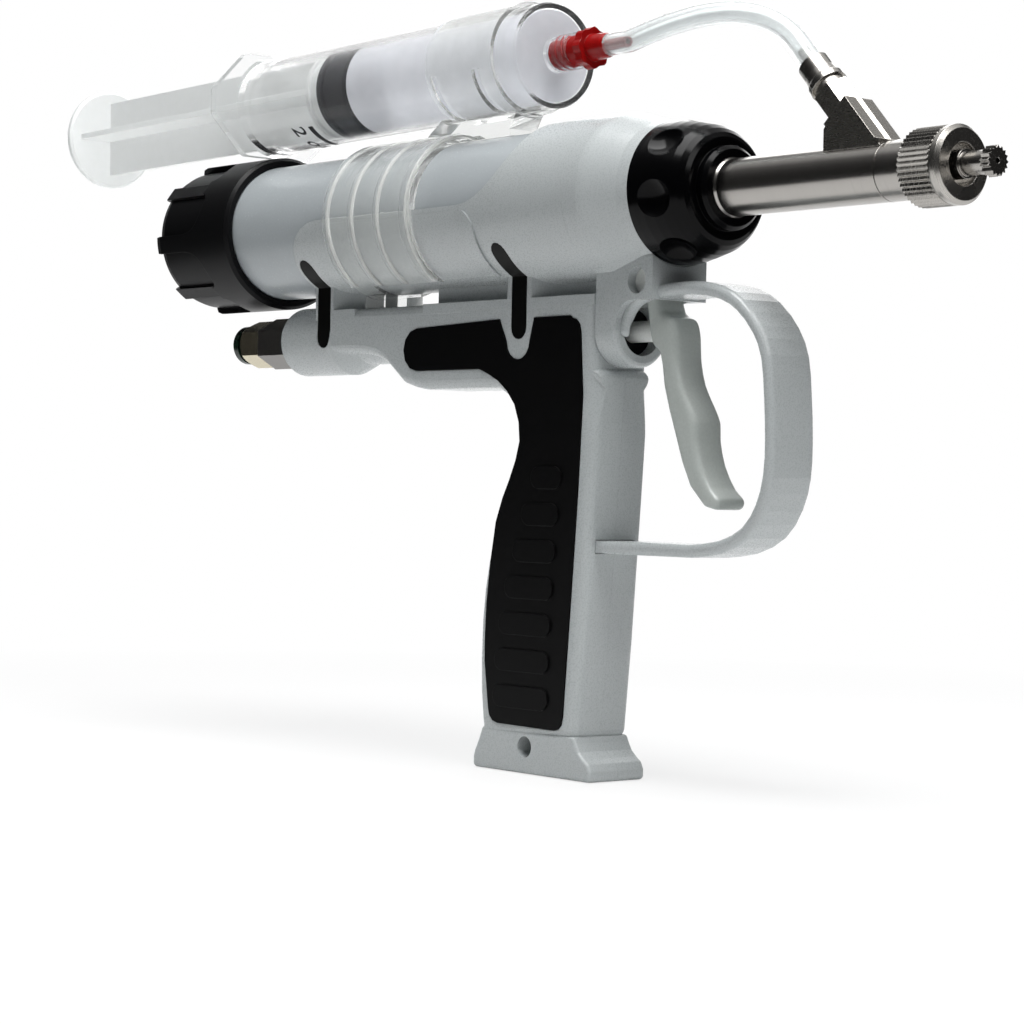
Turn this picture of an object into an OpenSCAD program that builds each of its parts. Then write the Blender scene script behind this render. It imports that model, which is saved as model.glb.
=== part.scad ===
// Air-driven adhesive gun with a syringe reservoir.
// Pulling the trigger opens an air valve, the air drives a piston along the barrel,
// and the piston rod pushes one shot of adhesive out of the steel dosing tube.
// The return spring draws the next shot through the clear hose from the 60 mL syringe.
// All lengths are in millimetres.  The origin is the middle of the foot's sole,
// +X points out of the nozzle, +Y to the gun's left and +Z up.
// Inside the modules x = 0 is the nose cap's rear rim and z = 0 the barrel axis.

/* [Layout] */
// Height of the barrel axis above the sole
axis_height = 160; // [155:1:168]
// Distance from the middle of the sole forward to the nose cap
nose_reach = 46; // [42:1:50]

/* [Barrel] */
// Outside diameter of the air cylinder tube
barrel_d = 42.4; // [42:0.2:43.2]
// Bore of the air cylinder tube
barrel_bore = 36; // [34:0.5:37]
// Length of the air cylinder tube
barrel_length = 174; // [170:1:180]
// Distance from the tube's front end forward to the nose cap
barrel_setback = 16; // [15:0.5:18]
// Diameter of the transfer hole that lets air in behind the piston
transfer_bore = 2.4; // [1.6:0.2:2.8]

/* [Front housing] */
// Length of the ring round the front of the barrel
ring_length = 22.3; // [21:0.5:25]
// Wall of the ring over the barrel
ring_wall = 1.8; // [1.4:0.1:2.4]
// Diameter where the ring meets the nose cap
ring_nose_d = 38.7; // [38.6:0.1:39.4]
// Half width of the trigger block under the ring
block_half_w = 9.8; // [9.6:0.1:10.6]
// Depth of the block's underside below the barrel axis
block_depth = 28.8; // [28:0.2:29.6]
// Distance from the boss's face forward to the nose cap
boss_setback = 14; // [13:0.5:15]

/* [Trigger guard] */
// Width of the guard strap
guard_width = 16; // [13:0.5:18]
// Thickness of the guard strap
guard_thickness = 3.6; // [3:0.1:4.2]
// How far the guard's tongue enters the handle
tongue_depth = 6; // [4:0.5:8]

/* [Trigger] */
// Width of the trigger
trigger_width = 11; // [9:0.5:12]
// Distance of the pivot behind the nose cap
pivot_setback = 5.9; // [5.5:0.1:6.3]
// Depth of the pivot below the barrel axis
pivot_depth = 23.6; // [23.4:0.1:24]
// Diameter of the pivot hole
pivot_hole = 7.2; // [6.4:0.2:7.2]
// How far each end of the pivot pin lies inside the block's face
pin_recess = 2.8; // [2:0.1:2.9]
// Side clearance of the trigger in its slot
trigger_side_gap = 0.4; // [0.3:0.1:0.6]

/* [Grip frame] */
// Width of the rail and the handle
grip_width = 20.6; // [20:0.2:22]
// Radius of the frame's outer edges
edge_radius = 3; // [2:0.25:3.5]
// Depth of the rail's top below the barrel axis
rail_top = 26.5; // [26:0.25:27]
// Depth of the rail's underside below the barrel axis
rail_bottom = 51.5; // [51:0.25:52.5]
// Step of the cradle over the barrel tube
cradle_wall = 0.8; // [0.6:0.1:1]
// Extra step of the two flank pads on the cradle
pad_step = 0.3; // [0.2:0.05:0.5]
// Wall of the hollow handle
handle_wall = 3.2; // [2.6:0.2:3.6]
// Length of the foot's sole
foot_length = 51; // [49:1:54]
// Diameter of the hanging hole in the foot
hang_hole = 6; // [5:0.2:6.4]
// Depth of the rubber grip inserts' pockets
inlay_depth = 1.5; // [1.2:0.1:1.8]
// How far the inserts stand proud of the handle
inlay_proud = 0.3; // [0.1:0.05:0.5]
// Width of the four dark strap inserts
strap_width = 6.5; // [5:0.25:7]

/* [Air line] */
// Depth of the air inlet's axis below the barrel axis
inlet_depth = 35.3; // [35:0.1:36]
// Diameter of the round housing behind the rail
inlet_housing_d = 21.4; // [21:0.2:22]
// Width across flats of the inlet fitting
fitting_flats = 14; // [13:0.5:15]
// Diameter of the plastic air hose that the fitting takes
hose_socket = 6; // [5:0.5:6.4]
// Travel of the release collar
collar_travel = 1.2; // [0.8:0.1:1.6]
// Outside diameter of the supply tube in the rail
supply_tube_d = 4.4; // [4:0.2:4.6]
// Outside diameter of the transfer tube in the rail
transfer_tube_d = 3.6; // [3.4:0.1:3.8]

/* [Air valve] */
// Depth of the valve's axis below the barrel axis
valve_depth = 36.7; // [36.4:0.1:37]
// Diameter of the round valve body
valve_d = 13; // [12.4:0.2:13.2]
// Diameter of the valve stem
stem_d = 5.8; // [5.2:0.2:6]
// Diameter of the valve chamber
valve_chamber = 9; // [8:0.5:10]
// Stroke of the valve stem
valve_stroke = 2.9; // [2:0.1:3]

/* [Piston and dosing] */
// Stroke of the piston, which sets the largest shot
piston_stroke = 25; // [15:1:26]
// Thickness of the piston
piston_length = 12; // [10:0.5:14]
// Diameter of the piston rod
rod_d = 10; // [8:0.5:10.5]
// Wire of the return spring
return_wire = 2.2; // [1.8:0.1:2.5]
// Outside diameter of the dosing tube
dosing_d = 15.2; // [14.8:0.2:15.4]
// Bore of the dosing tube
dosing_bore = 12; // [11:0.2:12.6]
// Distance that the dosing tube reaches in front of the nose cap's rear rim
dosing_reach = 77; // [76:0.5:80]
// Length of the dosing plunger
plunger_length = 9; // [7:0.5:11]

/* [Nose] */
// Diameter of the nose cap
cap_d = 38.6; // [38:0.2:38.6]
// Length of the nose cap's dome
cap_dome_length = 18; // [17:0.5:19]
// Diameter of the nose cap's front collar
cap_collar_d = 22.4; // [21:0.2:23]
// Length of the nose cap's front collar
cap_collar_length = 3; // [2.5:0.5:5]
// Count of the thumb scoops round the cap
scoop_count = 7; // [5:1:8]

/* [Nozzle] */
// Length of the outlet valve body in front of the dosing tube
outlet_length = 9.7; // [9:0.1:11]
// Diameter of the knurled collar nut
nut_d = 19.6; // [18.6:0.2:21]
// Length of the collar nut
nut_length = 12.9; // [12:0.1:14]
// Count of the knurl's teeth
knurl_count = 44; // [36:2:52]
// Diameter of the nozzle shank
nozzle_d = 6; // [5:0.2:6.6]
// Distance that the nozzle stands in front of the collar nut
nozzle_reach = 10.6; // [9:0.2:13]
// Count of the teeth on the nozzle's star tip
star_count = 16; // [12:1:18]
// Diameter of the nozzle's bore
nozzle_bore = 1.4; // [1:0.1:2]

/* [Feed port] */
// Angle between the port and the dosing tube
port_angle = 47; // [45:0.5:49]
// Where the port's axis meets the barrel axis, from the nose cap's rear rim
port_root = 76; // [75.5:0.25:77]
// Width of the square port bar
port_width = 10; // [9:0.25:10.5]
// Distance along the port's axis up to the end of its square bar
port_bar_reach = 22; // [21:0.5:23]
// Width across flats of the port's hex
port_flats = 9.4; // [9:0.2:10]
// Outside diameter of the ferrule that clamps the hose
ferrule_d = 8.6; // [8.2:0.2:9]

/* [Syringe] */
// Outside diameter of the syringe
syringe_d = 30; // [29.6:0.2:30.4]
// Wall of the syringe
syringe_wall = 1.65; // [1.2:0.05:1.9]
// Length of the syringe from its shoulder to its finger flange
syringe_length = 138.4; // [132:0.5:145]
// Height of the syringe's shoulder above the barrel axis
syringe_height = 42.9; // [42.8:0.1:43.6]
// Distance of the syringe's shoulder behind the nose cap's rear rim
syringe_setback = 52.6; // [51:0.2:54]
// Upward tilt of the syringe
syringe_tilt = 0.8; // [0.4:0.1:0.8]
// Thickness of the finger flange
flange_thickness = 3; // [2.4:0.2:3.6]
// Height and width of the finger flange
flange_size = [32.8, 48]; // [30:0.2:50]
// Diameter of the luer collar
luer_d = 10.3; // [9.9:0.1:10.6]
// Length of the luer collar
luer_length = 9.1; // [8:0.1:10]
// Distance from the shoulder back to the plunger's rubber seal
seal_setback = 82.8; // [76:0.2:90]
// Length of the rubber seal
seal_length = 15.6; // [13:0.2:18]
// Length of the plunger's cross-ribbed rod behind the seal
plunger_reach = 146; // [135:0.5:150]
// Width of the plunger's cross ribs
plunger_rib_w = 25.2; // [22:0.2:25.4]
// Thickness of the plunger's cross ribs
plunger_rib_t = 1.8; // [1.4:0.1:2.4]
// Diameter of the thumb disc
thumb_d = 33.6; // [30:0.2:36]

/* [Feed hose] */
// Outside diameter of the clear hose
hose_d = 6.3; // [6:0.1:6.6]
// Bore of the clear hose
hose_bore = 3.4; // [3:0.1:3.6]

/* [Syringe saddle] */
// Length of the saddle's sleeve along the barrel
saddle_length = 42.5; // [41:0.5:43]
// Distance of the sleeve's front edge behind the nose cap's rear rim
saddle_setback = 89.5; // [89:0.5:91]
// Wall of the sleeve
saddle_wall = 0.9; // [0.7:0.1:1.2]
// Height of the sleeve's ribs
saddle_rib = 0.6; // [0.4:0.1:0.9]
// Length of the ring round the syringe
saddle_ring_length = 30; // [27:0.5:32]
// Wall of the ring round the syringe
saddle_ring_wall = 1.2; // [0.9:0.1:1.6]

/* [Dose knob] */
// Diameter of the dose knob
knob_d = 48.6; // [47:0.2:48.8]
// Length of the dose knob
knob_length = 42.3; // [41:0.1:45]
// Count of the knob's grip ribs
rib_count = 8; // [6:2:8]
// Width of the knob's grip ribs
knob_rib_w = 5.4; // [4.6:0.2:6]
// Depth of the panels between the grip ribs
panel_depth = 2; // [1.4:0.1:2.2]
// How much lower every second grip rib is
low_rib_drop = 1.1; // [0.6:0.1:1.3]
// Travel of the dose stop
dose_travel = 9; // [5:0.5:9]
// Diameter of the dose stop's spindle
spindle_d = 8; // [7:0.2:9]

/* [Fits] */
// Gap of a seat between fixed pieces
seat_gap = 0.1; // [0.05:0.01:0.12]
// Radial clearance of a turning or sliding fit
running_gap = 0.06; // [0.04:0.01:0.08]
// Gap between moving pieces that don't guide each other
free_gap = 0.4; // [0.3:0.05:0.5]

/* [Hidden] */
$fn = 64;

eps = 0.01;
barrel_r = barrel_d / 2;
bore_r = barrel_bore / 2;
barrel_front = -barrel_setback;
barrel_rear = barrel_front - barrel_length;
seat_r = barrel_r + seat_gap;
sole_z = -axis_height;
grip_half = grip_width / 2;

// ---------- small helpers ----------

// A round bar along X between two stations
module along_x(from_x, to_x, r) {
    translate([from_x, 0, 0]) rotate([0, 90, 0]) cylinder(h = to_x - from_x, r = r);
}

// A body turned round X from an outline of [radius, x] points
module turned(points) {
    rotate([0, 90, 0]) rotate_extrude() polygon(points);
}

// A plate across the gun from an outline of [x, z] points
module plate(points, from_y, to_y) {
    translate([0, to_y, 0]) rotate([90, 0, 0]) linear_extrude(to_y - from_y) polygon(points);
}

// A hexagon bar along X, flats up and down
module hex_x(from_x, to_x, flats) {
    translate([from_x, 0, 0]) rotate([0, 90, 0])
        cylinder(h = to_x - from_x, r = flats / sqrt(3), $fn = 6);
}

// A point on a Catmull-Rom curve between b and c
function blend_point(a, b, c, d, t) = 0.5 * (2 * b + (c - a) * t
    + (2 * a - 5 * b + 4 * c - d) * t * t + (3 * b - a - 3 * c + d) * t * t * t);

// A smooth curve through the points, with n steps between each pair
function curve(p, n) = [for (i = [0 : len(p) - 2], k = [0 : n - 1])
    blend_point(p[max(i - 1, 0)], p[i], p[i + 1], p[min(i + 2, len(p) - 1)], k / n),
    p[len(p) - 1]];

// Points of an arc about c from angle a to angle b
function arc(c, r, a, b, n) = [for (i = [0 : n]) c + r * [cos(a + (b - a) * i / n), sin(a + (b - a) * i / n)]];

// A cross-wise prism with its outer edges rounded
module soft_plate(points, half_w, r) {
    minkowski() {
        rotate([90, 0, 0]) linear_extrude(2 * (half_w - r), center = true)
            offset(delta = -r) polygon(points);
        sphere(r, $fn = 20);
    }
}

// The right half (side = -1) or the left half (side = 1) of what is inside
module half(side) {
    intersection() {
        children();
        translate([-200, side < 0 ? -60 : 0, -200]) cube([300, 60, 300]);
    }
}

// ---------- grip frame ----------

// Outline of the rail and the handle, seen from the right
handle_front_top = -46.6;
rail_rear = -118;
frame_front = -ring_length - seat_gap;
handle_front = curve([[-20.2, handle_front_top], [-22.3, -80], [-25.2, -121.5], [-27.7, sole_z + 11]], 1);
handle_rear = curve([[-67.6, sole_z + 9], [-69.6, -138], [-69.7, -118], [-67.1, -100.7], [-61.7, -86.8],
    [-53.4, -75], [-49.9, -66.4], [-53.7, -57.9], [-65.1, -rail_bottom]], 2);
rail_underside = curve([[-99, -rail_bottom], [-109, -49.5], [rail_rear, -43], [-128, -40.4], [-141, -40]], 2);
grip_outline = concat([[frame_front, -rail_top], [frame_front, handle_front_top]], handle_front,
    handle_rear, rail_underside, [[-153.5, -40], [-153.5, -rail_top]]);

// The foot flares out under the handle
foot_front = -20.5;
foot_rear = foot_front - foot_length;
foot_outline = concat([[foot_front, sole_z], [foot_front, sole_z + 3]],
    curve([[foot_front - 1, sole_z + 5], [-25.5, sole_z + 8], [-27.7, sole_z + 12]], 2),
    curve([[-67.6, sole_z + 12], [-69.3, sole_z + 8], [foot_rear + 0.6, sole_z + 5]], 2),
    [[foot_rear, sole_z + 3], [foot_rear, sole_z]]);

// Side view of the cradle and the sleeve that hold the barrel
cradle_edge = -0.3;
cradle_rear = -153.5;
sleeve_top_rear = -46.7;
sleeve_sweep = 23;
housing_outline = concat([[cradle_rear, -30]], arc([cradle_rear + 15, cradle_edge - 15], 15, 180, 90, 6),
    [for (i = [0 : 8]) [sleeve_top_rear - sleeve_sweep + sleeve_sweep * sin(i * 90 / 8),
        cradle_edge + sleeve_sweep * (1 - cos(i * 90 / 8))]],
    [[sleeve_top_rear, 30], [-ring_length, 30], [-ring_length, -30]]);

cradle_r = seat_r + cradle_wall;
sleeve_r = seat_r + ring_wall;

module barrel_housing() {
    intersection() {
        turned([[seat_r, cradle_rear], [cradle_r, cradle_rear], [cradle_r, -70], [sleeve_r, -49],
            [sleeve_r, -ring_length], [seat_r, -ring_length]]);
        plate(housing_outline, -30, 30);
    }
    // Raised pads on both flanks
    intersection() {
        turned([[seat_r, -139], [cradle_r + pad_step, -139], [cradle_r + pad_step, -70],
            [sleeve_r, -62], [seat_r, -62]]);
        plate(concat(arc([-133, -7.7], 6, 180, 90, 4), arc([-68, -7.7], 6, 90, 0, 4),
            [[-62, -19.9], [-139, -19.9]]), -30, 30);
    }
}

// Webs between the cradle and the rail
web_1 = [-153.5, -133];
web_2 = [-59.5, -49.5];
rib_half = 4.5;
cove_r = 8;
module webs() {
    difference() {
        union() {
            translate([web_1[0], -grip_half, -rail_top - edge_radius])
                cube([web_1[1] - web_1[0], grip_width, rail_top + edge_radius - 15]);
            translate([-99, -grip_half, -rail_top - edge_radius])
                cube([99 + frame_front, grip_width, rail_top + edge_radius - 15]);
        }
        for (side = [-1, 1]) {
            cove(web_1[0] + 9 + cove_r, web_1[1] + 10, side);
            cove(-110, web_2[0] - cove_r, side);
            cove(web_2[1] + cove_r, 0, side);
        }
    }
}

// A rounded recess along a web, with a round end at each side
module cove(from_x, to_x, side) {
    mid_y = side * (rib_half + cove_r);
    translate([0, 0, -rail_top]) {
        for (x = [from_x, to_x]) translate([x, mid_y, 0]) cylinder(h = 15, r = cove_r);
        translate([from_x, mid_y - cove_r, 0]) cube([to_x - from_x, 2 * cove_r, 15]);
    }
}

// Round housing of the air inlet behind the rail
housing_rear = -173;
module inlet_housing() {
    r = inlet_housing_d / 2;
    translate([0, 0, -inlet_depth]) turned([[0, housing_rear], [r - 1.2, housing_rear],
        [r, housing_rear + 1.5], [r, -146], [r - 1.5, -141], [r - 3, -137], [r - 3, -112], [0, -112]]);
}

module frame_solid() {
    difference() {
        union() {
            soft_plate(grip_outline, grip_half, edge_radius);
            soft_plate(foot_outline, grip_half, 1.2);
            barrel_housing();
            webs();
            inlet_housing();
        }
        along_x(-200, 20, seat_r);
        frame_bores();
        // Straight front corners of the handle, rounded more than the other edges
        for (side = [-1, 1]) front_corner(side);
    }
}

// Tool that rounds one front corner of the handle and runs out under the trigger block
corner_r = 7;
corner_top = -44;
run_out_r = 12;
module front_corner(side) {
    top = handle_front[0];
    low = handle_front[3];
    lean = atan2(low[0] - top[0], top[1] - low[1]);
    difference() {
        translate([top[0], side * grip_half, top[1]]) rotate([0, lean, 0]) translate([0, 0, -115])
            linear_extrude(120) difference() {
                translate([-corner_r, side > 0 ? -corner_r : 0]) square([corner_r + 3, corner_r]);
                translate([-corner_r, -side * corner_r]) circle(corner_r);
            }
        translate([0, side * (grip_half - run_out_r), corner_top]) along_x(-60, 20, run_out_r);
        translate([-60, -40, corner_top]) cube([80, 80, 40]);
    }
}

// Everything that is bored or sunk into both halves of the frame
air_z = -inlet_depth;
transfer_z = -31;
transfer_x = -150;
elbow_r = 4;
valve_front = -18;
valve_neck = -42;
valve_rear = -62;
valve_block_half = 7.5;
valve_block_z = [-44, -28.8];
fitting_thread_d = 11;
fitting_thread_end = housing_rear + 10;
module frame_bores() {
    translate([0, 0, -valve_depth]) along_x(valve_neck - eps, 10, valve_d / 2 + seat_gap);
    translate([valve_rear - seat_gap, -valve_block_half - seat_gap, valve_block_z[0] - seat_gap])
        cube([valve_neck - valve_rear + 2 * seat_gap, 2 * (valve_block_half + seat_gap),
            valve_block_z[1] - valve_block_z[0] + 2 * seat_gap]);
    translate([0, 0, air_z]) along_x(-200, fitting_thread_end, fitting_thread_d / 2 + seat_gap);
    translate([0, 0, air_z]) along_x(-200, valve_rear, supply_tube_d / 2 + seat_gap);
    transfer_channel(transfer_tube_d / 2 + seat_gap);
    // Hanging hole
    translate([hang_x, -30, hang_z]) rotate([-90, 0, 0]) cylinder(h = 60, r = hang_hole / 2);
    // Slot for the guard's tongue
    translate([tongue_x - seat_gap, -tongue_half - seat_gap, guard_low - guard_thickness / 2 - seat_gap])
        cube([40, 2 * (tongue_half + seat_gap), guard_thickness + 2 * seat_gap]);
    handle_hollow();
}

hang_x = -48.3;
hang_z = sole_z + 7.5;

// The handle's hollow, with its screw posts left standing
post_r = 4;
screw_spots = [[-92, -43], [-38, -56], [-34, -88], [-58, -112], [-36, -140]];
module handle_hollow() {
    difference() {
        rotate([90, 0, 0]) linear_extrude(2 * (grip_half - handle_wall - inlay_depth), center = true)
            offset(delta = -handle_wall - 1)
                polygon(concat([[-27, -50]], [for (p = handle_front) if (p[1] < -50) p],
                    [for (p = handle_rear) if (p[1] < -60) p], [[-55, -58], [-55, -50]]));
        for (p = screw_spots) translate([p[0], 0, p[1]]) rotate([90, 0, 0])
            cylinder(h = grip_width, r = post_r, center = true);
        translate([tongue_x - 3, -grip_half, guard_low - 5]) cube([20, grip_width, 10]);
    }
}

// The screws enter from the left, under the rubber insert
screw_head_r = 2.8;
screw_head_h = 2;
screw_r = 1.5;
screw_head_y = grip_half - inlay_depth - screw_head_h - 0.2;
screw_tip_y = -6.5;
module screw_holes() {
    for (p = screw_spots) translate([p[0], 0, p[1]]) rotate([-90, 0, 0]) {
        translate([0, 0, screw_tip_y - 0.5]) cylinder(h = 20, r = screw_r + seat_gap);
        translate([0, 0, screw_head_y]) cylinder(h = 10, r = screw_head_r + seat_gap);
    }
}

module frame_half(side) {
    color("#b9bbbc") difference() {
        half(side) frame_solid();
        screw_holes();
        scale([1, -side, 1]) grip_insert(seat_gap);
        strap_pair(side, seat_gap);
    }
}

module frame_right() place() frame_half(-1);
module frame_left() place() frame_half(1);

// Outline of the rubber insert in the handle's side
insert_outline = concat(arc([-101.5, -39.8], 6.2, 270, 90, 6), [[-63, -32.2]],
    arc([-54.5, -38.6], 5.2, 180, 360, 8), [[-47.5, -32.2], [-32, -32.2]],
    arc([-31.5, -36.8], 4, 90, 0, 3), curve([[-26.2, -54], [-27.4, -80], [-29.6, -112], [-31.9, -143]], 1),
    arc([-35.4, -143.4], 3.4, 0, -90, 3), arc([-60.4, -142.6], 4, 270, 180, 3),
    curve([[-66.4, -129.3], [-66.1, -113], [-62.6, -89.6], [-57, -77.7], [-52.8, -66.8], [-55.4, -56.4],
        [-63, -49.6], [-72, -46]], 2));

// Ribs of the rubber insert: centre x, centre z and width
rib_rows = [for (i = [0 : 6]) [-40.5 - 9.5 * sin(i * 15), -76.9 - 10.3 * i, 13 + 11 * sin(i * 15)]];
rib_height = 6.3;
rib_proud = 0.5;

// The right-hand rubber insert; grow > 0 makes its pocket
module grip_insert(grow) {
    top = grip_half + (grow > 0 ? 2 : inlay_proud);
    translate([0, -grip_half + inlay_depth, 0]) rotate([90, 0, 0])
        linear_extrude(inlay_depth + top - grip_half)
            if (grow > 0) offset(delta = grow) polygon(insert_outline);
            else polygon(insert_outline);
    if (grow == 0) for (row = rib_rows) grip_rib(row);
}

module grip_rib(row) {
    reach = (row[2] - rib_height) / 2;
    translate([row[0], -grip_half, row[1]]) rotate([90, 0, 0])
        linear_extrude(inlay_proud + rib_proud) {
            square([2 * reach, rib_height], center = true);
            for (end = [-1, 1]) translate([end * reach, 0]) circle(rib_height / 2);
        }
}

module grip_insert_right() place() color("#222326") grip_insert(0);
module grip_insert_left() place() color("#222326") mirror([0, 1, 0]) grip_insert(0);

// Dark strap inserts that run from the cradle down over the webs
strap_rear = [-149, cradle_r];
strap_front = [-54.5, sleeve_r - 0.3];
strap_top = -11.6;
strap_low = -38;
strap_depth = 0.7;

// One strap insert on one side; grow > 0 makes its pocket
module strap_insert(spot, side, grow) {
    w = strap_width / 2 + grow;
    r = spot[1];
    knee = -sqrt(r * r - grip_half * grip_half);
    outline = concat(arc([spot[0], strap_low + strap_width / 2], w, 180, 360, 8),
        arc([spot[0], strap_top - strap_width / 2], w, 0, 180, 8));
    proud = grow > 0 ? 2 : 0;
    floor_r = r - strap_depth - grow;
    intersection() {
        plate(outline, side < 0 ? -40 : 0, side < 0 ? 0 : 40);
        union() {
            intersection() {
                turned([[floor_r, spot[0] - 10], [r + proud, spot[0] - 10],
                    [r + proud, spot[0] + 10], [floor_r, spot[0] + 10]]);
                translate([spot[0] - 10, -40, knee]) cube([20, 80, 40]);
            }
            translate([spot[0] - 10, side < 0 ? -grip_half - proud : grip_half - inlay_depth - grow, -60])
                cube([20, inlay_depth + grow + proud, 60 + knee]);
        }
    }
}

module strap_pair(side, grow) {
    strap_insert(strap_rear, side, grow);
    strap_insert(strap_front, side, grow);
}

module strap_inserts() place() color("#1b1b1d") {
    strap_pair(-1, 0);
    strap_pair(1, 0);
}

module case_screws() place() color("silver")
    for (p = screw_spots) translate([p[0], 0, p[1]]) rotate([-90, 0, 0]) {
        translate([0, 0, screw_tip_y]) cylinder(h = screw_head_y - screw_tip_y + eps, r = screw_r);
        translate([0, 0, screw_head_y]) difference() {
            cylinder(h = screw_head_h, r = screw_head_r);
            translate([0, 0, 0.8]) cylinder(h = 2, r = 1.3, $fn = 6);
        }
    }

// ---------- front housing, guard and trigger ----------

ring_bore_r = 17.6;
gland_step = 3;
guard_low = -95.6;
guard_radius = guard_thickness / 2;
tongue_half = 7;
tongue_x = -23.5 - tongue_depth;
// Middle line of the guard strap from the boss's rim, over the block and down to the handle
guard_line = concat(curve([[-13.4, -valve_depth], [-12.4, -32.6], [-8.8, -28.8], [-3, -27], [6, -26.3], [14, -26.3], [23.6, -27.9], [31, -31.6], [37.4, -38], [40.9, -45],
    [42.2, -55], [42.9, -66], [42.5, -75.6], [40, -83.5], [34.6, -90.2], [25.4, -94.2], [14, guard_low]], 2),
    [[-20, guard_low]]);

// Unit normal of a line at point i
function normal_at(p, i) = let (d = p[min(i + 1, len(p) - 1)] - p[max(i - 1, 0)]) [-d[1], d[0]] / norm(d);
// A closed band of width 2w along a line
function band(p, w) = concat([for (i = [0 : len(p) - 1]) p[i] + w * normal_at(p, i)],
    [for (i = [len(p) - 1 : -1 : 0]) p[i] - w * normal_at(p, i)]);

module guard_strap() {
    minkowski() {
        rotate([90, 0, 0]) linear_extrude(guard_width - guard_thickness, center = true)
            polygon(band(guard_line, 0.06));
        sphere(guard_radius - 0.06, $fn = 16);
    }
    // Flat tongue at the strap's end
    translate([tongue_x, -tongue_half, guard_low - guard_radius + 0.1])
        cube([-19 - tongue_x, 2 * tongue_half, guard_thickness - 0.2]);
}

// The boss that the valve looks out of is as wide as the block
boss_r = block_half_w;
boss_rim = 1.2;
boss_front = -boss_setback;
slot_half = trigger_width / 2 + trigger_side_gap;
slot_front = -0.7;
module front_housing() place() color("#b9bbbc") difference() {
    union() {
        turned([[0, -ring_length], [sleeve_r, -ring_length], [sleeve_r, -16.5], [sleeve_r - 0.3, -14.6],
            [20.95, -7.9], [19.8, -4], [ring_nose_d / 2, 0], [0, 0]]);
        plate(concat([[-ring_length, -17], [-ring_length, -valve_depth], [boss_front, -valve_depth]],
            arc([boss_front + 6.5, -block_depth - 6.5], 6.5, 180, 90, 5), [[0.5, -block_depth], [0.5, -17]]),
            -block_half_w, block_half_w);
        translate([0, 0, -valve_depth]) turned([[0, -ring_length], [boss_r, -ring_length], [boss_r, boss_front - boss_rim],
            [boss_r - 0.4 * boss_rim, boss_front - 0.3 * boss_rim], [boss_r - boss_rim, boss_front], [0, boss_front]]);
        guard_strap();
    }
    along_x(-60, -barrel_setback + gland_step + seat_gap, seat_r);
    along_x(-60, 20, ring_bore_r);
    // Valve opening
    translate([0, 0, -valve_depth]) along_x(-60, 0, valve_d / 2 + seat_gap);
    // Slot for the trigger's head
    plate([[-11.6, -17.9], [slot_front, -17.9], [slot_front, -40], [-13, -40], [-13, -32]], -slot_half, slot_half);
    translate([-pivot_setback, -40, -pivot_depth]) rotate([-90, 0, 0]) cylinder(h = 80, r = pivot_hole / 2);
    // Nothing of the housing reaches in front of the cap's seat above the block
    along_x(0, 3, cap_d / 2 + 0.4);
}

pin_length = 2 * (block_half_w - pin_recess);
module pivot_pin() place() color("gainsboro") translate([-pivot_setback, 0, -pivot_depth])
    rotate([90, 0, 0]) cylinder(h = pin_length, r = pivot_hole / 2 - running_gap, center = true);

trigger_outline = concat([[-8.2, -25], [-3.2, -25], [-2.4, -29.4]],
    curve([[-1.4, -31.8], [1, -33.2], [3.1, -34], [4.6, -38.2], [5.1, -45], [7, -51.5], [10.6, -57.2], [13, -61.5],
        [13.2, -66.5], [15.2, -73], [19.2, -79], [24, -82.6]], 2),
    [[24, -84.6], [22.4, -85]],
    curve([[16.7, -83.9], [11.2, -78.8], [7.8, -72.4], [5, -65.2], [2.4, -58.6], [0.2, -52], [-0.7, -46.5],
        [-1.7, -43], [-4.6, -40.8], [-5.9, -37.2], [-6.4, -33.8]], 1));
trigger_edge = 1.9;
hub_wall = 1.2;
module trigger() place() color("#a3a79d") difference() {
    union() {
        soft_plate(trigger_outline, trigger_width / 2, trigger_edge);
        translate([-pivot_setback, 0, -pivot_depth]) rotate([90, 0, 0])
            cylinder(h = trigger_width, r = pivot_hole / 2 + hub_wall, center = true);
    }
    translate([-pivot_setback, 0, -pivot_depth]) rotate([90, 0, 0])
        cylinder(h = 40, r = pivot_hole / 2, center = true);
}

// ---------- barrel, piston and dosing ----------

module barrel_tube() place() color("#c3c6c9") difference() {
    along_x(barrel_rear, barrel_front, barrel_r);
    along_x(barrel_rear - 1, barrel_front + 1, bore_r);
    translate([transfer_x, 0, -30]) cylinder(h = 20, r = transfer_bore / 2);
}

gland_length = 14;
gland_stub = 8;
gland_stub_r = 14.5;
rod_r = rod_d / 2;
seal_section = 2.4;
module front_gland() place() color("#8d9094") difference() {
    union() {
        along_x(barrel_front - gland_length, barrel_front, bore_r - seat_gap);
        along_x(barrel_front, barrel_front + gland_step, barrel_r - 0.1);
        along_x(barrel_front + gland_step, 0, ring_bore_r - seat_gap);
        along_x(0, gland_stub, gland_stub_r);
    }
    along_x(-60, 20, rod_r + running_gap);
    ring_groove(barrel_front - gland_length / 2, bore_r);
    along_x(barrel_front - 3 - seal_section, barrel_front - 3, rod_r + seal_section + seat_gap);
}

// A groove for a seal ring round the outside of a piston or plug
module ring_groove(mid_x, r) {
    turned([[r - seal_section - seat_gap, mid_x - seal_section / 2 - seat_gap],
        [r + 1, mid_x - seal_section / 2 - seat_gap], [r + 1, mid_x + seal_section / 2 + seat_gap],
        [r - seal_section - seat_gap, mid_x + seal_section / 2 + seat_gap]]);
}

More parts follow.
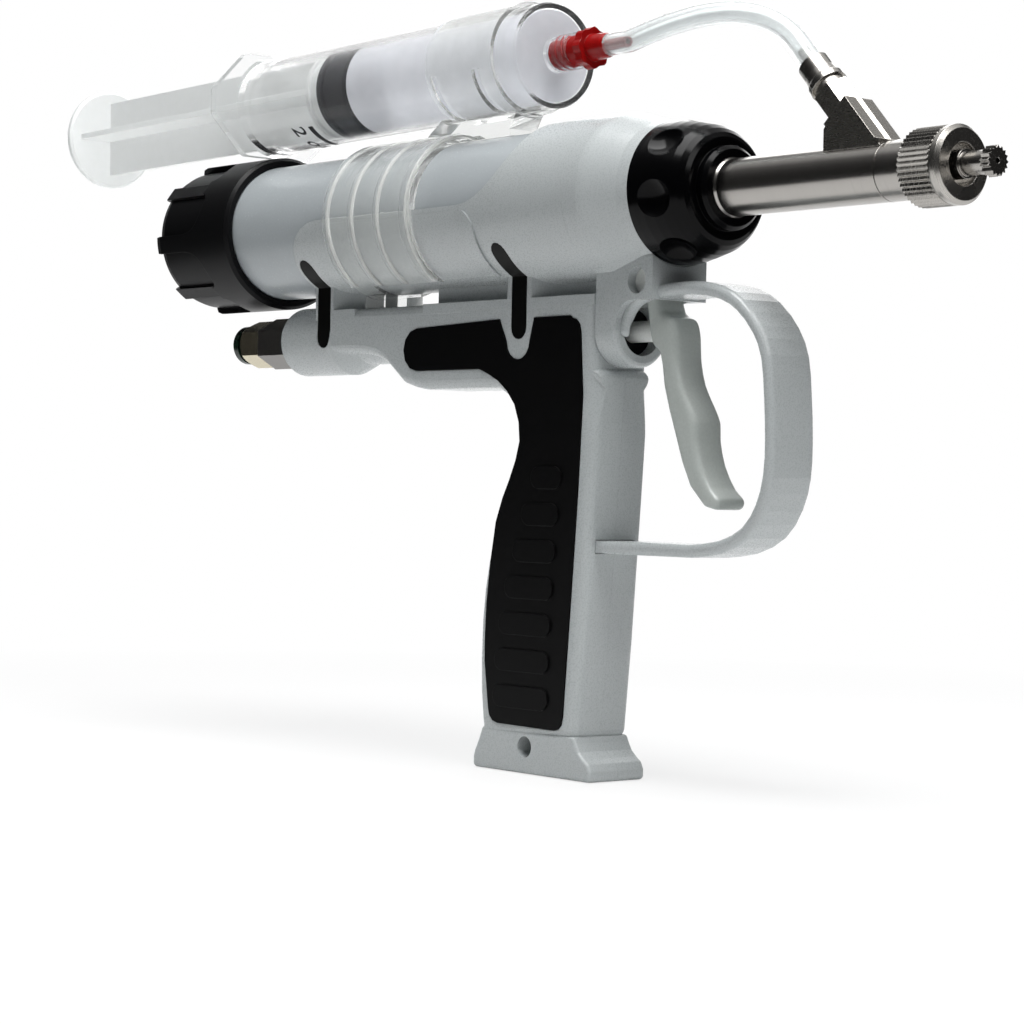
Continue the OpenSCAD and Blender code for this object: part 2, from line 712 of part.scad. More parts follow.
// A rubber ring with rounded edges, from inner_r to outer_r
module seal_ring(mid_x, inner_r, outer_r) {
    h = seal_section / 2;
    turned([[inner_r, mid_x - h + 0.4], [inner_r + 0.4, mid_x - h], [outer_r - 0.4, mid_x - h],
        [outer_r, mid_x - h + 0.4], [outer_r, mid_x + h - 0.4], [outer_r - 0.4, mid_x + h],
        [inner_r + 0.4, mid_x + h], [inner_r, mid_x + h - 0.4]]);
}

module gland_seal() place() color("#1d1d1f")
    seal_ring(barrel_front - gland_length / 2, bore_r - seal_section, bore_r - 0.02);

module rod_seal() place() color("#1d1d1f")
    seal_ring(barrel_front - 3 - seal_section / 2, rod_r + running_gap, rod_r + seal_section);

piston_rear = -143;
piston_front = piston_rear + piston_length;
module piston() place() color("#d9d7cf") difference() {
    along_x(piston_rear, piston_front, bore_r - running_gap);
    along_x(piston_rear + 4, piston_front + 1, rod_r * 0.8 + seat_gap);
    ring_groove((piston_rear + piston_front) / 2, bore_r);
}

module piston_seal() place() color("#1d1d1f")
    seal_ring((piston_rear + piston_front) / 2, bore_r - seal_section, bore_r - running_gap);

flange_x = gland_stub;
plunger_rear = 21;
module piston_rod() place() color("#c9ccd0") {
    along_x(piston_rear + 4, piston_front + eps, rod_r * 0.8);
    along_x(piston_front, plunger_rear - 6, rod_r);
    along_x(plunger_rear - 6 - eps, plunger_rear + 5, 3);
}

module dosing_plunger() place() color("#f0ede4") difference() {
    turned([[0, plunger_rear], [dosing_bore / 2 - running_gap, plunger_rear],
        [dosing_bore / 2 - running_gap, plunger_rear + plunger_length - 1.5],
        [dosing_bore / 2 - 2, plunger_rear + plunger_length], [0, plunger_rear + plunger_length]]);
    along_x(plunger_rear - 1, plunger_rear + 5, 3 + seat_gap);
}

// A spring wound along X: one unbroken tube of wire
spring_sides = 6;
spring_rings = 8;
module spring_x(from_x, to_x, coil_r, wire, curls) {
    steps = curls * spring_rings;
    pitch = (to_x - from_x - wire) / curls;
    echo(least_gap_between_curls = pitch - wire);
    points = [for (i = [0 : steps]) let (a = i * 360 / spring_rings, x = from_x + wire / 2 + pitch * i / spring_rings)
        for (k = [0 : spring_sides - 1]) let (b = k * 360 / spring_sides, r = coil_r + wire / 2 * cos(b))
            [x + wire / 2 * sin(b), r * cos(a), r * sin(a)]];
    walls = [for (i = [0 : steps - 1], k = [0 : spring_sides - 1]) let (n = (k + 1) % spring_sides,
        a = i * spring_sides + k, b = i * spring_sides + n) each [[a, b, b + spring_sides], [a, b + spring_sides, a + spring_sides]]];
    cap_a = [for (k = [1 : spring_sides - 2]) [0, k + 1, k]];
    last = steps * spring_sides;
    cap_b = [for (k = [1 : spring_sides - 2]) [last, last + k, last + k + 1]];
    polyhedron(points, concat(walls, cap_a, cap_b));
}

return_curls = 12;
module return_spring() place() color("#b8bcc0")
    spring_x(piston_front, barrel_front - gland_length, 13, return_wire, return_curls);

dosing_flange = 3;
dosing_r = dosing_d / 2;
tube_lip = 0.45;
cap_front = cap_dome_length + cap_collar_length;
module dosing_tube() place() color("#9b9893") difference() {
    union() {
        along_x(flange_x, flange_x + dosing_flange, 10.4);
        along_x(flange_x, dosing_reach, dosing_r);
        turned([[0, cap_front], [dosing_r + tube_lip, cap_front], [dosing_r, cap_front + 0.8], [0, cap_front + 0.8]]);
    }
    along_x(flange_x - 1, dosing_reach + 1, dosing_bore / 2);
    on_port() cylinder(h = 20, r = port_bore);
}

module nose_cap() place() color("#0e0e10") difference() {
    turned(concat([[0, 0], [cap_d / 2, 0]],
        [for (t = [0 : 12 : 90]) [cap_d / 2 - 6.3 * (1 - cos(t)), 2 + (cap_dome_length - 2) * sin(t)]],
        [[cap_d / 2 - 6.3, cap_dome_length], [cap_collar_d / 2, cap_dome_length],
        [cap_collar_d / 2, cap_front - 1], [cap_collar_d / 2 - 1, cap_front], [0, cap_front]]));
    along_x(-1, gland_stub, gland_stub_r + seat_gap);
    along_x(-1, flange_x + dosing_flange, 10.4 + seat_gap);
    along_x(-1, cap_front + 1, dosing_r + seat_gap);
    for (i = [0 : scoop_count - 1]) rotate([i * 360 / scoop_count - 15, 0, 0])
        translate([10.2, 24.4, 0]) sphere(8.2);
}

// ---------- feed port ----------

port_bore = 2;
// Puts a piece on the port's axis, with +Z up the port and +X to its front
module on_port() {
    translate([port_root, 0, 0]) rotate([0, port_angle - 90, 0]) children();
}

port_hex_top = 29.4;
port_ring_top = 31.6;
module inlet_block() place() color("#8f8c86") difference() {
    union() {
        on_port() translate([-4.7, -port_width / 2, 0]) cube([9.5, port_width, port_bar_reach]);
        plate([[57.6, 0], [57.6, 11.6], [59.6, 14], [68, 10], [port_root + 0.4, 7.8], [port_root + 0.4, 0]],
            -port_width / 2, port_width / 2);
        on_port() cylinder(h = port_hex_top, r = port_flats / sqrt(3), $fn = 6);
        on_port() cylinder(h = port_ring_top, r = 4.3);
    }
    along_x(0, 120, dosing_r + seat_gap);
    on_port() cylinder(h = 60, r = port_bore);
    on_port() translate([0, 0, ball_seat]) cylinder(h = 60, r = ball_r + 0.3);
    translate([0, -20, -40]) cube([100, 40, 40]);
}

ball_r = 2.2;
ball_seat = 14;
module inlet_check_ball() place() color("silver") on_port()
    translate([0, 0, ball_seat + sqrt(ball_r * ball_r - port_bore * port_bore) + 0.05]) sphere(ball_r);

// Ferrule nut and barb that clamp the hose on the port
barb_top = 45;
ferrule_top = 40.3;
module hose_ferrule() place() color("#a5a29c") on_port() difference() {
    rotate_extrude() polygon([[1.2, ball_seat + 6], [ball_r + 0.2, ball_seat + 6], [ball_r + 0.2, port_ring_top],
        [5, port_ring_top], [5, 33.2], [4.6, 33.8], [ferrule_d / 2, 36], [ferrule_d / 2, ferrule_top - 0.5],
        [ferrule_d / 2 - 0.5, ferrule_top], [hose_d / 2 + seat_gap, ferrule_top], [hose_d / 2 + seat_gap, 35],
        [hose_bore / 2 - seat_gap, 35], [hose_bore / 2 - seat_gap, barb_top], [1, barb_top], [1, port_ring_top]]);
}

// ---------- outlet and nozzle ----------

outlet_front = dosing_reach + outlet_length;
nut_front = outlet_front + nut_length;
nozzle_flange = 2.4;
module outlet_body() place() color("#9b9893") difference() {
    union() {
        along_x(dosing_reach + 0.3, outlet_front, dosing_r);
        along_x(dosing_reach, outlet_front, dosing_r - 0.4);
        along_x(outlet_front, nut_front - 4 - nozzle_flange, 7);
    }
    along_x(dosing_reach - 1, dosing_reach + 4, dosing_bore / 2);
    along_x(dosing_reach, nut_front, 1.6);
    along_x(outlet_front - 2, nut_front, ball_r + 0.4);
}

module outlet_check_ball() place() color("silver")
    translate([outlet_front - 2 + sqrt(ball_r * ball_r - 1.6 * 1.6) + 0.05, 0, 0]) sphere(ball_r);

knurl_depth = 0.55;
knurl_length = nut_length - 3;
module collar_nut() place() color("#8a8781") difference() {
    union() {
        translate([outlet_front, 0, 0]) rotate([0, 90, 0]) linear_extrude(knurl_length)
            polygon([for (i = [0 : knurl_count - 1]) each [
                (nut_d / 2) * [cos(i * 360 / knurl_count), sin(i * 360 / knurl_count)],
                (nut_d / 2 - knurl_depth) * [cos((i + 0.5) * 360 / knurl_count), sin((i + 0.5) * 360 / knurl_count)]]]);
        turned([[0, outlet_front + knurl_length - 1], [nut_d / 2 - 0.6, outlet_front + knurl_length - 1],
            [nut_d / 2, outlet_front + knurl_length + 0.6], [nut_d / 2, nut_front - 1],
            [nut_d / 2 - 1, nut_front], [0, nut_front]]);
    }
    along_x(outlet_front - 1, nut_front - 4, 7 + seat_gap);
    along_x(outlet_front, nut_front + 1, 5.35);
}

nozzle_tip = nut_front + nozzle_reach;
star_d = 7.6;
module nozzle() place() color("#a8a59f") difference() {
    union() {
        along_x(nut_front - 4 - nozzle_flange, nut_front - 4, 6.8);
        along_x(nut_front - 4, nut_front + 1, 3.6);
        along_x(nut_front, nozzle_tip - 2.4, nozzle_d / 2);
        translate([nozzle_tip - 2.6, 0, 0]) rotate([0, 90, 0]) linear_extrude(2.6)
            polygon([for (i = [0 : star_count - 1]) each [
                (star_d / 2) * [cos(i * 360 / star_count), sin(i * 360 / star_count)],
                (star_d / 2 - 0.7) * [cos((i + 0.5) * 360 / star_count), sin((i + 0.5) * 360 / star_count)]]]);
    }
    along_x(nut_front - 20, nozzle_tip + 1, nozzle_bore / 2);
}

// ---------- syringe ----------

// Puts a piece on the syringe's axis, with x = 0 at its shoulder
module on_syringe() {
    translate([-syringe_setback, 0, syringe_height]) rotate([0, -syringe_tilt, 0]) children();
}

syringe_r = syringe_d / 2;
syringe_bore_r = syringe_r - syringe_wall;
shoulder_wall = 2;
flange_rear = -syringe_length - flange_thickness;
luer_bore_r = 4.1;
luer_tip = luer_length + 1.6;
module syringe_barrel() place() on_syringe() color("#dfe3e0") difference() {
    union() {
        turned([[0, flange_rear], [syringe_r, flange_rear], [syringe_r, -1.4], [syringe_r - 0.5, -0.4],
            [syringe_r - 1.4, 0], [0, 0]]);
        turned([[syringe_r - eps, -syringe_length + 8], [syringe_r - eps, -syringe_length],
            [syringe_r + 1.6, -syringe_length], [syringe_r + 0.4, -syringe_length + 3]]);
        translate([flange_rear, 0, 0]) rotate([0, 90, 0]) linear_extrude(flange_thickness)
            flange_shape(flange_size[0] / 2, flange_size[1] / 2);
        difference() {
            along_x(-eps, luer_length, luer_d / 2);
            along_x(0.8, luer_length + 1, luer_bore_r);
        }
        turned([[0, 0], [2.05, 0], [1.9, luer_tip], [0, luer_tip]]);
    }
    along_x(flange_rear - 1, -shoulder_wall, syringe_bore_r);
    along_x(-20, luer_tip + 1, 1);
}

// The finger flange: eight straight sides with rounded corners
module flange_shape(half_h, half_w) {
    flat = 3;
    r = 3;
    hull() for (sx = [-1, 1], sy = [-1, 1]) {
        translate([sx * (half_h - r), sy * 11]) circle(r, $fn = 32);
        translate([sx * flat, sy * (half_w - r)]) circle(r, $fn = 32);
    }
}

seal_front = -seal_setback;
seal_rear = seal_front - seal_length;
module syringe_seal() place() on_syringe() color("#17171b") difference() {
    r = syringe_bore_r - running_gap;
    turned([[0, seal_rear], [r - 0.3, seal_rear], [r, seal_rear + 0.8], [r, seal_rear + 2.6], [r - 0.7, seal_rear + 3.2],
        [r - 0.7, seal_rear + 4.6], [r, seal_rear + 5.2], [r, seal_front - 1.6], [r - 0.6, seal_front - 1.2],
        [6, seal_front], [0, seal_front]]);
    turned([[0, seal_rear - 1], [9 + seat_gap, seal_rear - 1], [9 + seat_gap, seal_rear + 6 + seat_gap],
        [0, seal_rear + 6 + seat_gap]]);
}

thumb_rear = seal_rear - plunger_reach;
thumb_t = 3;
module syringe_plunger() place() on_syringe() color("#e3e7e4") {
    along_x(seal_rear - 1, seal_rear + 6, 9);
    turned([[0, seal_rear - 6], [syringe_bore_r - 0.5, seal_rear - 6], [syringe_bore_r - 0.5, seal_rear - 4.6],
        [plunger_rib_w / 2 - 0.5, seal_rear - 4.4], [plunger_rib_w / 2 - 0.5, seal_rear - 1.4],
        [syringe_bore_r - 0.5, seal_rear - 1.2], [syringe_bore_r - 0.5, seal_rear - seat_gap], [0, seal_rear - seat_gap]]);
    translate([thumb_rear + 1, -plunger_rib_t / 2, -plunger_rib_w / 2])
        cube([plunger_reach - 6, plunger_rib_t, plunger_rib_w]);
    translate([thumb_rear + 1, -plunger_rib_w / 2, -plunger_rib_t / 2])
        cube([plunger_reach - 6, plunger_rib_w, plunger_rib_t]);
    turned([[0, thumb_rear], [thumb_d / 2 - 0.8, thumb_rear], [thumb_d / 2, thumb_rear + 0.8],
        [thumb_d / 2, thumb_rear + thumb_t - 0.8], [thumb_d / 2 - 0.8, thumb_rear + thumb_t], [0, thumb_rear + thumb_t]]);
}

// Red luer adapter: threaded plug, shank, scalloped ring, cone and hose barb
adapter_ring_t = 2.8;
adapter_shank_r = 4.4;
adapter_ring_end = luer_length + 7.2;
adapter_cone_end = adapter_ring_end + 6.6;
adapter_barb_end = adapter_cone_end + 8;
module luer_adapter() place() on_syringe() color("#b3161b") difference() {
    union() {
        along_x(1.4, luer_length + 1, luer_bore_r - 0.15);
        along_x(luer_length + 0.05, adapter_ring_end - 1, adapter_shank_r);
        translate([adapter_ring_end - adapter_ring_t, 0, 0]) rotate([0, 90, 0]) linear_extrude(adapter_ring_t)
            polygon([for (a = [0 : 10 : 350]) (5.6 + 0.35 * cos(8 * a)) * [cos(a), sin(a)]]);
        turned([[0, adapter_ring_end - eps], [3.9, adapter_ring_end - eps], [3.5, adapter_cone_end - 1.2],
            [hose_d / 2, adapter_cone_end], [0, adapter_cone_end]]);
        along_x(adapter_ring_end, adapter_barb_end, hose_bore / 2 - seat_gap);
    }
    along_x(0, luer_tip + 0.3, 2.05 + seat_gap);
    along_x(0, adapter_barb_end + 1, 0.9);
}

// ---------- clear hose ----------

function on_syringe_point(x) = [-syringe_setback + x * cos(syringe_tilt), syringe_height + x * sin(syringe_tilt)];
function on_port_point(s) = [port_root - s * cos(port_angle), s * sin(port_angle)];

// Middle line of the hose as [x, z] points, from the adapter's cone to the port's ferrule
hose_route = concat([for (x = [0, 4, 8.5]) on_syringe_point(adapter_cone_end + x)],
    [[-14, 44.6], [-4, 46], [8, 46.8], [20, 46], [31, 43.2], [40, 38.2]],
    [on_port_point(ferrule_top + 1.5), on_port_point(35)]);
hose_line = curve(hose_route, 3);

hose_sides = 12;
hose_rings = len(hose_line);
hose_half = hose_rings * hose_sides;
hose_end = (hose_rings - 1) * hose_sides;
function hose_ring(i, r) = [for (k = [0 : hose_sides - 1]) let (u = normal_at(hose_line, i), a = k * 360 / hose_sides)
    [hose_line[i][0] + r * cos(a) * u[0], r * sin(a), hose_line[i][1] + r * cos(a) * u[1]]];
hose_points = concat([for (i = [0 : hose_rings - 1]) each hose_ring(i, hose_d / 2)],
    [for (i = [0 : hose_rings - 1]) each hose_ring(i, hose_bore / 2)]);
hose_outside = [for (i = [0 : hose_rings - 2], k = [0 : hose_sides - 1])
    let (a = i * hose_sides + k, b = i * hose_sides + (k + 1) % hose_sides)
    each [[a, b, b + hose_sides], [a, b + hose_sides, a + hose_sides]]];
hose_inside = [for (f = hose_outside) [f[0] + hose_half, f[2] + hose_half, f[1] + hose_half]];
hose_ends = [for (k = [0 : hose_sides - 1]) let (n = (k + 1) % hose_sides) each [[k, hose_half + k, hose_half + n],
    [k, hose_half + n, n], [hose_end + k, hose_end + n, hose_half + hose_end + n],
    [hose_end + k, hose_half + hose_end + n, hose_half + hose_end + k]]];

module feed_hose() place() color("#e8efee")
    polyhedron(hose_points, concat(hose_outside, hose_inside, hose_ends));

// ---------- syringe saddle ----------

saddle_front = -saddle_setback;
saddle_rear = saddle_front - saddle_length;
saddle_r = cradle_r + pad_step + seat_gap + saddle_wall;
saddle_ring_front = -62.5;
saddle_ribs = [[-131.8, 3], [-119.3, 2.5], [-106.7, 2.5], [-94, 4.5]];
ring_hold_r = syringe_r + seat_gap;
module syringe_saddle() place() color("#d8dad2") difference() {
    union() {
        difference() {
            union() {
                along_x(saddle_rear, saddle_front, saddle_r);
                for (rib = saddle_ribs) along_x(rib[0], rib[0] + rib[1], saddle_r + saddle_rib);
            }
            // Open below
            plate([[saddle_rear - 1, -40], [saddle_rear - 1, -20.3], [saddle_front + 1, -20.3], [saddle_front + 1, -40]],
                -40, 40);
        }
        // Foot along the barrel's top and pedestal up to the ring
        plate([[-112, 18], [-104, saddle_r + 1], [-94, 31], [-91, 36], [-64, 36], [-63.5, 28], [-67, barrel_r + 1.6], [-67, 18]],
            -5, 5);
        on_syringe() along_x(saddle_ring_front + syringe_setback - saddle_ring_length, saddle_ring_front + syringe_setback,
            ring_hold_r + saddle_ring_wall);
        // Tab under the barrel
        translate([saddle_rear + 0.2, -7, -rail_top + 0.2]) cube([10, 14, 8]);
        intersection() {
            along_x(saddle_rear, saddle_rear + 10.2, saddle_r);
            translate([-200, -30, -40]) cube([400, 60, 20]);
        }
    }
    along_x(-300, 10, seat_r);
    // Room for the cradle and its pads
    intersection() {
        along_x(-300, 10, cradle_r + pad_step + seat_gap);
        translate([-300, -40, -40]) cube([400, 80, 40 + cradle_edge + seat_gap]);
    }
    on_syringe() along_x(-200, 50, ring_hold_r);
    // Arc windows in the ring, two on each side
    for (x = [-38.5, -19]) on_syringe() translate([x, 0, 0]) arc_window(3);
}

// A window through the ring's wall on both sides, over about a sixth of a turn
module arc_window(width) {
    intersection() {
        along_x(0, width, 30);
        translate([-5, -30, -14.6]) cube([20, 60, 11]);
    }
}

// ---------- dose knob and stop ----------

spindle_r = spindle_d / 2;
plug_flange = 3;
plug_boss_r = 15;
plug_rear = barrel_rear - plug_flange - 13;
module rear_plug() place() color("#77797c") difference() {
    union() {
        along_x(barrel_rear, barrel_rear + 12, bore_r - seat_gap);
        along_x(barrel_rear - plug_flange, barrel_rear, barrel_r - 0.1);
        along_x(plug_rear, barrel_rear, plug_boss_r);
    }
    along_x(plug_rear - 1, barrel_rear + 20, spindle_r + running_gap);
    turned([[plug_boss_r - 1.2, plug_rear + 2.6], [plug_boss_r + 1, plug_rear + 2.6],
        [plug_boss_r + 1, plug_rear + 4.2], [plug_boss_r - 1.2, plug_rear + 4.2]]);
}

module knob_retaining_ring() place() color("silver") difference() {
    along_x(plug_rear + 2.7, plug_rear + 4.1, plug_boss_r + 1.2);
    along_x(plug_rear, plug_rear + 6, plug_boss_r - 1.1);
    translate([plug_rear, 0, 8]) translate([0, -2, 0]) cube([6, 4, 20]);
}

knob_front = barrel_rear + 5.8;
knob_rear = knob_front - knob_length;
knob_r = knob_d / 2;
hex_flats = spindle_d + 1;
core_r = knob_r - panel_depth;
panel_half = knob_r * sin(180 / rib_count) - knob_rib_w / 2;
rib_turn = 8;
low_rib_length = 24;
// Outline of a panel from the rear: short beside the tall rib, which flares into the front ring
panel_outline = concat([[-1, -panel_half]], curve([[17, -panel_half], [22, 0.9 - panel_half], [25, 3.5 - panel_half],
    [26.6, 1], [27, panel_half - 1.8], [25, panel_half]], 2), [[-1, panel_half]]);
// What the ribs leave open between the core and the outside of the knob
module knob_panels() {
    step = 360 / rib_count;
    for (i = [0 : rib_count - 1]) rotate([rib_turn + (i + 0.5) * step, 0, 0])
        translate([knob_rear, core_r - 3, 0]) rotate([-90, 0, 0]) linear_extrude(10)
            scale([1, i % 2 == 0 ? -1 : 1]) polygon(panel_outline);
    for (i = [0 : rib_count / 2 - 1]) rotate([rib_turn + (2 * i + 1) * step, 0, 0])
        translate([knob_rear - 1, knob_r - low_rib_drop, -knob_rib_w]) cube([low_rib_length + 1, 5, 2 * knob_rib_w]);
}

module dose_knob() place() color("#141416") difference() {
    union() {
        difference() {
            turned([[0, knob_rear], [knob_r - 2, knob_rear], [knob_r - 0.6, knob_rear + 1.4], [knob_r, knob_rear + 4],
                [knob_r, knob_front - 1], [knob_r - 1, knob_front], [0, knob_front]]);
            knob_panels();
        }
        turned([[0, knob_rear], [core_r - 2, knob_rear], [core_r - 0.6, knob_rear + 1], [core_r, knob_rear + 3.4],
            [core_r, knob_front - 4], [0, knob_front - 4]]);
    }
    // Room for the barrel's end, bearing bore and hex socket of the dose stop
    along_x(barrel_rear - plug_flange - free_gap, knob_front + 1, barrel_r + free_gap);
    along_x(plug_rear - free_gap, knob_front, plug_boss_r + running_gap);
    along_x(plug_rear + 2.7 - free_gap, plug_rear + 4.1 + free_gap, plug_boss_r + 1.2 + free_gap);
    hex_x(knob_rear + 2.5, knob_front, hex_flats + 0.6);
}

stop_pad = 4;
hex_length = 7.6;
module dose_stop() place() color("#b4b6b8") {
    along_x(piston_rear - 0.3 - stop_pad, piston_rear - 0.3, 8);
    along_x(plug_rear - 1, piston_rear - stop_pad, spindle_r);
    hex_x(plug_rear - 1 - hex_length, plug_rear - 1 + eps, hex_flats);
}

// ---------- air valve and air line ----------

valve_bore_r = stem_d / 2 + running_gap;
chamber_r = valve_chamber / 2;
chamber_front = -50;
module valve_body() place() color("#18181a") difference() {
    union() {
        translate([0, 0, -valve_depth]) along_x(valve_neck, valve_front, valve_d / 2);
        translate([valve_rear, -valve_block_half, valve_block_z[0]])
            cube([valve_neck - valve_rear, 2 * valve_block_half, valve_block_z[1] - valve_block_z[0]]);
    }
    translate([0, 0, -valve_depth]) along_x(chamber_front - eps, valve_front + 1, valve_bore_r);
    translate([0, 0, -valve_depth]) along_x(valve_rear + 2, chamber_front, chamber_r);
    translate([0, 0, air_z]) along_x(valve_rear - 1, valve_rear + 3, 1.4);
    translate([0, 0, transfer_z]) along_x(valve_rear - 1, -46, 1);
    translate([-47, 0, -valve_depth]) cylinder(h = valve_depth + transfer_z, r = 1);
}

stem_front = -6.4;
stem_dome = 3.4;
stem_head = 1.6;
stem_r = stem_d / 2;
stem_shoulder = stem_front - stem_dome + sqrt(stem_dome * stem_dome - stem_r * stem_r);
// The stem is turned, with a sealing head, a waist for the air and a domed end for the trigger
module valve_stem() place() color("#cfd2cf") translate([0, 0, -valve_depth])
    turned(concat([[0, chamber_front - stem_head], [chamber_r - free_gap, chamber_front - stem_head],
        [chamber_r - free_gap, chamber_front - 0.3], [stem_r, chamber_front - 0.3], [stem_r, -48.5], [1.8, -48],
        [1.8, -46], [stem_r, -45.5], [stem_r, stem_shoulder]],
        [for (t = [50 : -10 : 0]) [stem_dome * sin(t), stem_front - stem_dome * (1 - cos(t))]]));

module valve_spring() place() color("#b8bcc0") translate([0, 0, -valve_depth])
    spring_x(valve_rear + 2, chamber_front - stem_head, 3.1, 0.8, 5);

module supply_tube() place() color("#c8a14e") translate([0, 0, air_z]) difference() {
    along_x(fitting_thread_end, valve_rear, supply_tube_d / 2);
    along_x(fitting_thread_end - 1, valve_rear + 1, supply_tube_d / 2 - 0.7);
}

// The transfer tube runs along the rail, turns a quarter bend and rises to the barrel
transfer_rise = -transfer_z - elbow_r - barrel_r;
module transfer_bend() {
    translate([transfer_x + elbow_r, 0, transfer_z + elbow_r]) rotate([90, 0, 0]) rotate([0, 0, 180])
        rotate_extrude(angle = 90) translate([elbow_r, 0]) children();
}

module transfer_channel(r) {
    translate([0, 0, transfer_z]) along_x(transfer_x + elbow_r, valve_rear, r);
    transfer_bend() circle(r);
    translate([transfer_x, 0, transfer_z + elbow_r]) cylinder(h = transfer_rise + 1, r = r);
}

module transfer_tube() place() color("#c8a14e") {
    outer = transfer_tube_d / 2;
    inner = outer - 0.7;
    translate([0, 0, transfer_z]) difference() {
        along_x(transfer_x + elbow_r, valve_rear, outer);
        along_x(transfer_x, valve_rear + 1, inner);
    }
    transfer_bend() difference() {
        circle(outer);
        circle(inner);
    }
    translate([transfer_x, 0, transfer_z + elbow_r]) difference() {
        cylinder(h = transfer_rise, r = outer);
        translate([0, 0, -1]) cylinder(h = transfer_rise + 2, r = inner);
    }
}

fitting_rear = housing_rear - 17;
ring_rear = fitting_rear - 11.5;
collar_rear = ring_rear - 4.5;
socket_r = hose_socket / 2;
module inlet_fitting() place() color("#8b8984") translate([0, 0, air_z]) difference() {
    union() {
        hex_x(fitting_rear, housing_rear, fitting_flats);
        along_x(housing_rear, fitting_thread_end, fitting_thread_d / 2);
        along_x(fitting_rear - 1.6, fitting_rear, 5.6);
    }
    along_x(fitting_rear - 2, fitting_rear + 12, socket_r + 0.05);
    along_x(fitting_rear, fitting_thread_end + 1, supply_tube_d / 2 - 0.7);
    along_x(fitting_rear - 2, fitting_rear + 4, 4.4);
}

module fitting_ring() place() color("#c9bd8f") translate([0, 0, air_z]) difference() {
    intersection() {
        hex_x(ring_rear, fitting_rear - seat_gap, 13);
        turned([[0, ring_rear], [6.2, ring_rear], [7.6, ring_rear + 2], [7.6, fitting_rear], [0, fitting_rear]]);
    }
    along_x(ring_rear - 1, fitting_rear + 1, 4.4);
    along_x(fitting_rear - 1.6 - seat_gap, fitting_rear + 1, 5.6 + seat_gap);
}

module release_collar() place() color("#10251c") translate([0, 0, air_z]) difference() {
    union() {
        turned([[0, collar_rear], [5.6, collar_rear], [6.2, collar_rear + 0.6],
            [6.2, ring_rear - collar_travel - free_gap], [0, ring_rear - collar_travel - free_gap]]);
        along_x(collar_rear + 1, fitting_rear + 2, 4.4 - running_gap);
    }
    along_x(collar_rear - 1, fitting_rear + 3, socket_r + 0.2);
}

// ---------- assembly ----------

module place() translate([nose_reach, 0, axis_height]) children();

frame_right();
frame_left();
front_housing();
barrel_tube();
nose_cap();
dose_knob();
rear_plug();
knob_retaining_ring();
dose_stop();
piston();
piston_seal();
piston_rod();
return_spring();
dosing_plunger();
front_gland();
gland_seal();
rod_seal();
dosing_tube();
inlet_block();
inlet_check_ball();
outlet_body();
outlet_check_ball();
collar_nut();
nozzle();
hose_ferrule();
feed_hose();
luer_adapter();
syringe_barrel();
syringe_plunger();
syringe_seal();
syringe_saddle();
trigger();
pivot_pin();
valve_body();
valve_stem();
valve_spring();
supply_tube();
transfer_tube();
inlet_fitting();
fitting_ring();
release_collar();
grip_insert_right();
grip_insert_left();
strap_inserts();
case_screws();
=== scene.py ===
# %% [markdown]
# # Dressing an air-driven adhesive gun
#
# The gun is a pistol-shaped pump.  A trigger opens an air valve in the grip, a piston in the grey barrel
# pushes adhesive out of the steel tube, and a clear hose feeds it from the syringe on top.
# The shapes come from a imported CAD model.  This notebook adds the finishes, the soft hose, the springs,
# the syringe's filling and print, and the round edges that make moulded plastic look moulded.
# Everything is in metres: X points out of the nozzle, Y to the gun's left and Z up.  The foot is on Z = 0.

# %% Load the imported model
import math

import bpy
from mathutils import Matrix, Vector


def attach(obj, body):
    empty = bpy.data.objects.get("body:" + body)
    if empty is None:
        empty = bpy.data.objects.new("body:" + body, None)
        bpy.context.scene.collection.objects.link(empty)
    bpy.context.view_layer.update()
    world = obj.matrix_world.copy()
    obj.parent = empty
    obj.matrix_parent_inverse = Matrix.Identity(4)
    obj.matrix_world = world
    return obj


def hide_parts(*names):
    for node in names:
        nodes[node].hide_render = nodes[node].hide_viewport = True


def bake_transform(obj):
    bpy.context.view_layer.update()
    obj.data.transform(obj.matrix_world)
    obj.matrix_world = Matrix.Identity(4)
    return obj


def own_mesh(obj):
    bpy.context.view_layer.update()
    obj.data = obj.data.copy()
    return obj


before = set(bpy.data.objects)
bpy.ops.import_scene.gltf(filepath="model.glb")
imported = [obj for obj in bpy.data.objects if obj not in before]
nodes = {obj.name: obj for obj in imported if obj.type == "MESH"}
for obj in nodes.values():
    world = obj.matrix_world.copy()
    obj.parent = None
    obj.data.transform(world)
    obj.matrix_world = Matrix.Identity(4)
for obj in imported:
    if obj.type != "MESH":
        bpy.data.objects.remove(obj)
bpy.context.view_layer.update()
bpy.ops.object.select_all(action="DESELECT")
MM = 0.001

# %% [markdown]
# ## The camera
# The photograph was taken with a long lens from the gun's right front, level with the middle of the grip.
# A camera could be aimed at a target by a constraint, but a matrix of its three directions is exact,
# so the matrix's columns are the camera's right, up and backward directions.

# %% Place the camera
camera_data = bpy.data.cameras.new("photo_camera")
camera_data.sensor_width = 36.0
camera_data.lens = 94.92
camera_data.clip_end = 50.0
camera = bpy.data.objects.new("photo_camera", camera_data)
bpy.context.scene.collection.objects.link(camera)
camera_right = Vector((0.634817, 0.77239, 0.020542))
camera_up = Vector((-0.020527, -0.009717, 0.999742))
camera_back = camera_right.cross(camera_up)
camera.matrix_world = Matrix((camera_right, camera_up, camera_back)).transposed().to_4x4()
camera.matrix_world.translation = (0.57866, -0.49411, 0.08062)
bpy.context.scene.camera = camera
print("lens:", camera_data.lens, "mm")

# %% [markdown]
# ## Wiring shaders
# A shader is a graph of nodes.  Written out in full it takes three lines a node, so two short functions
# add a node with its values and link a list of sockets.


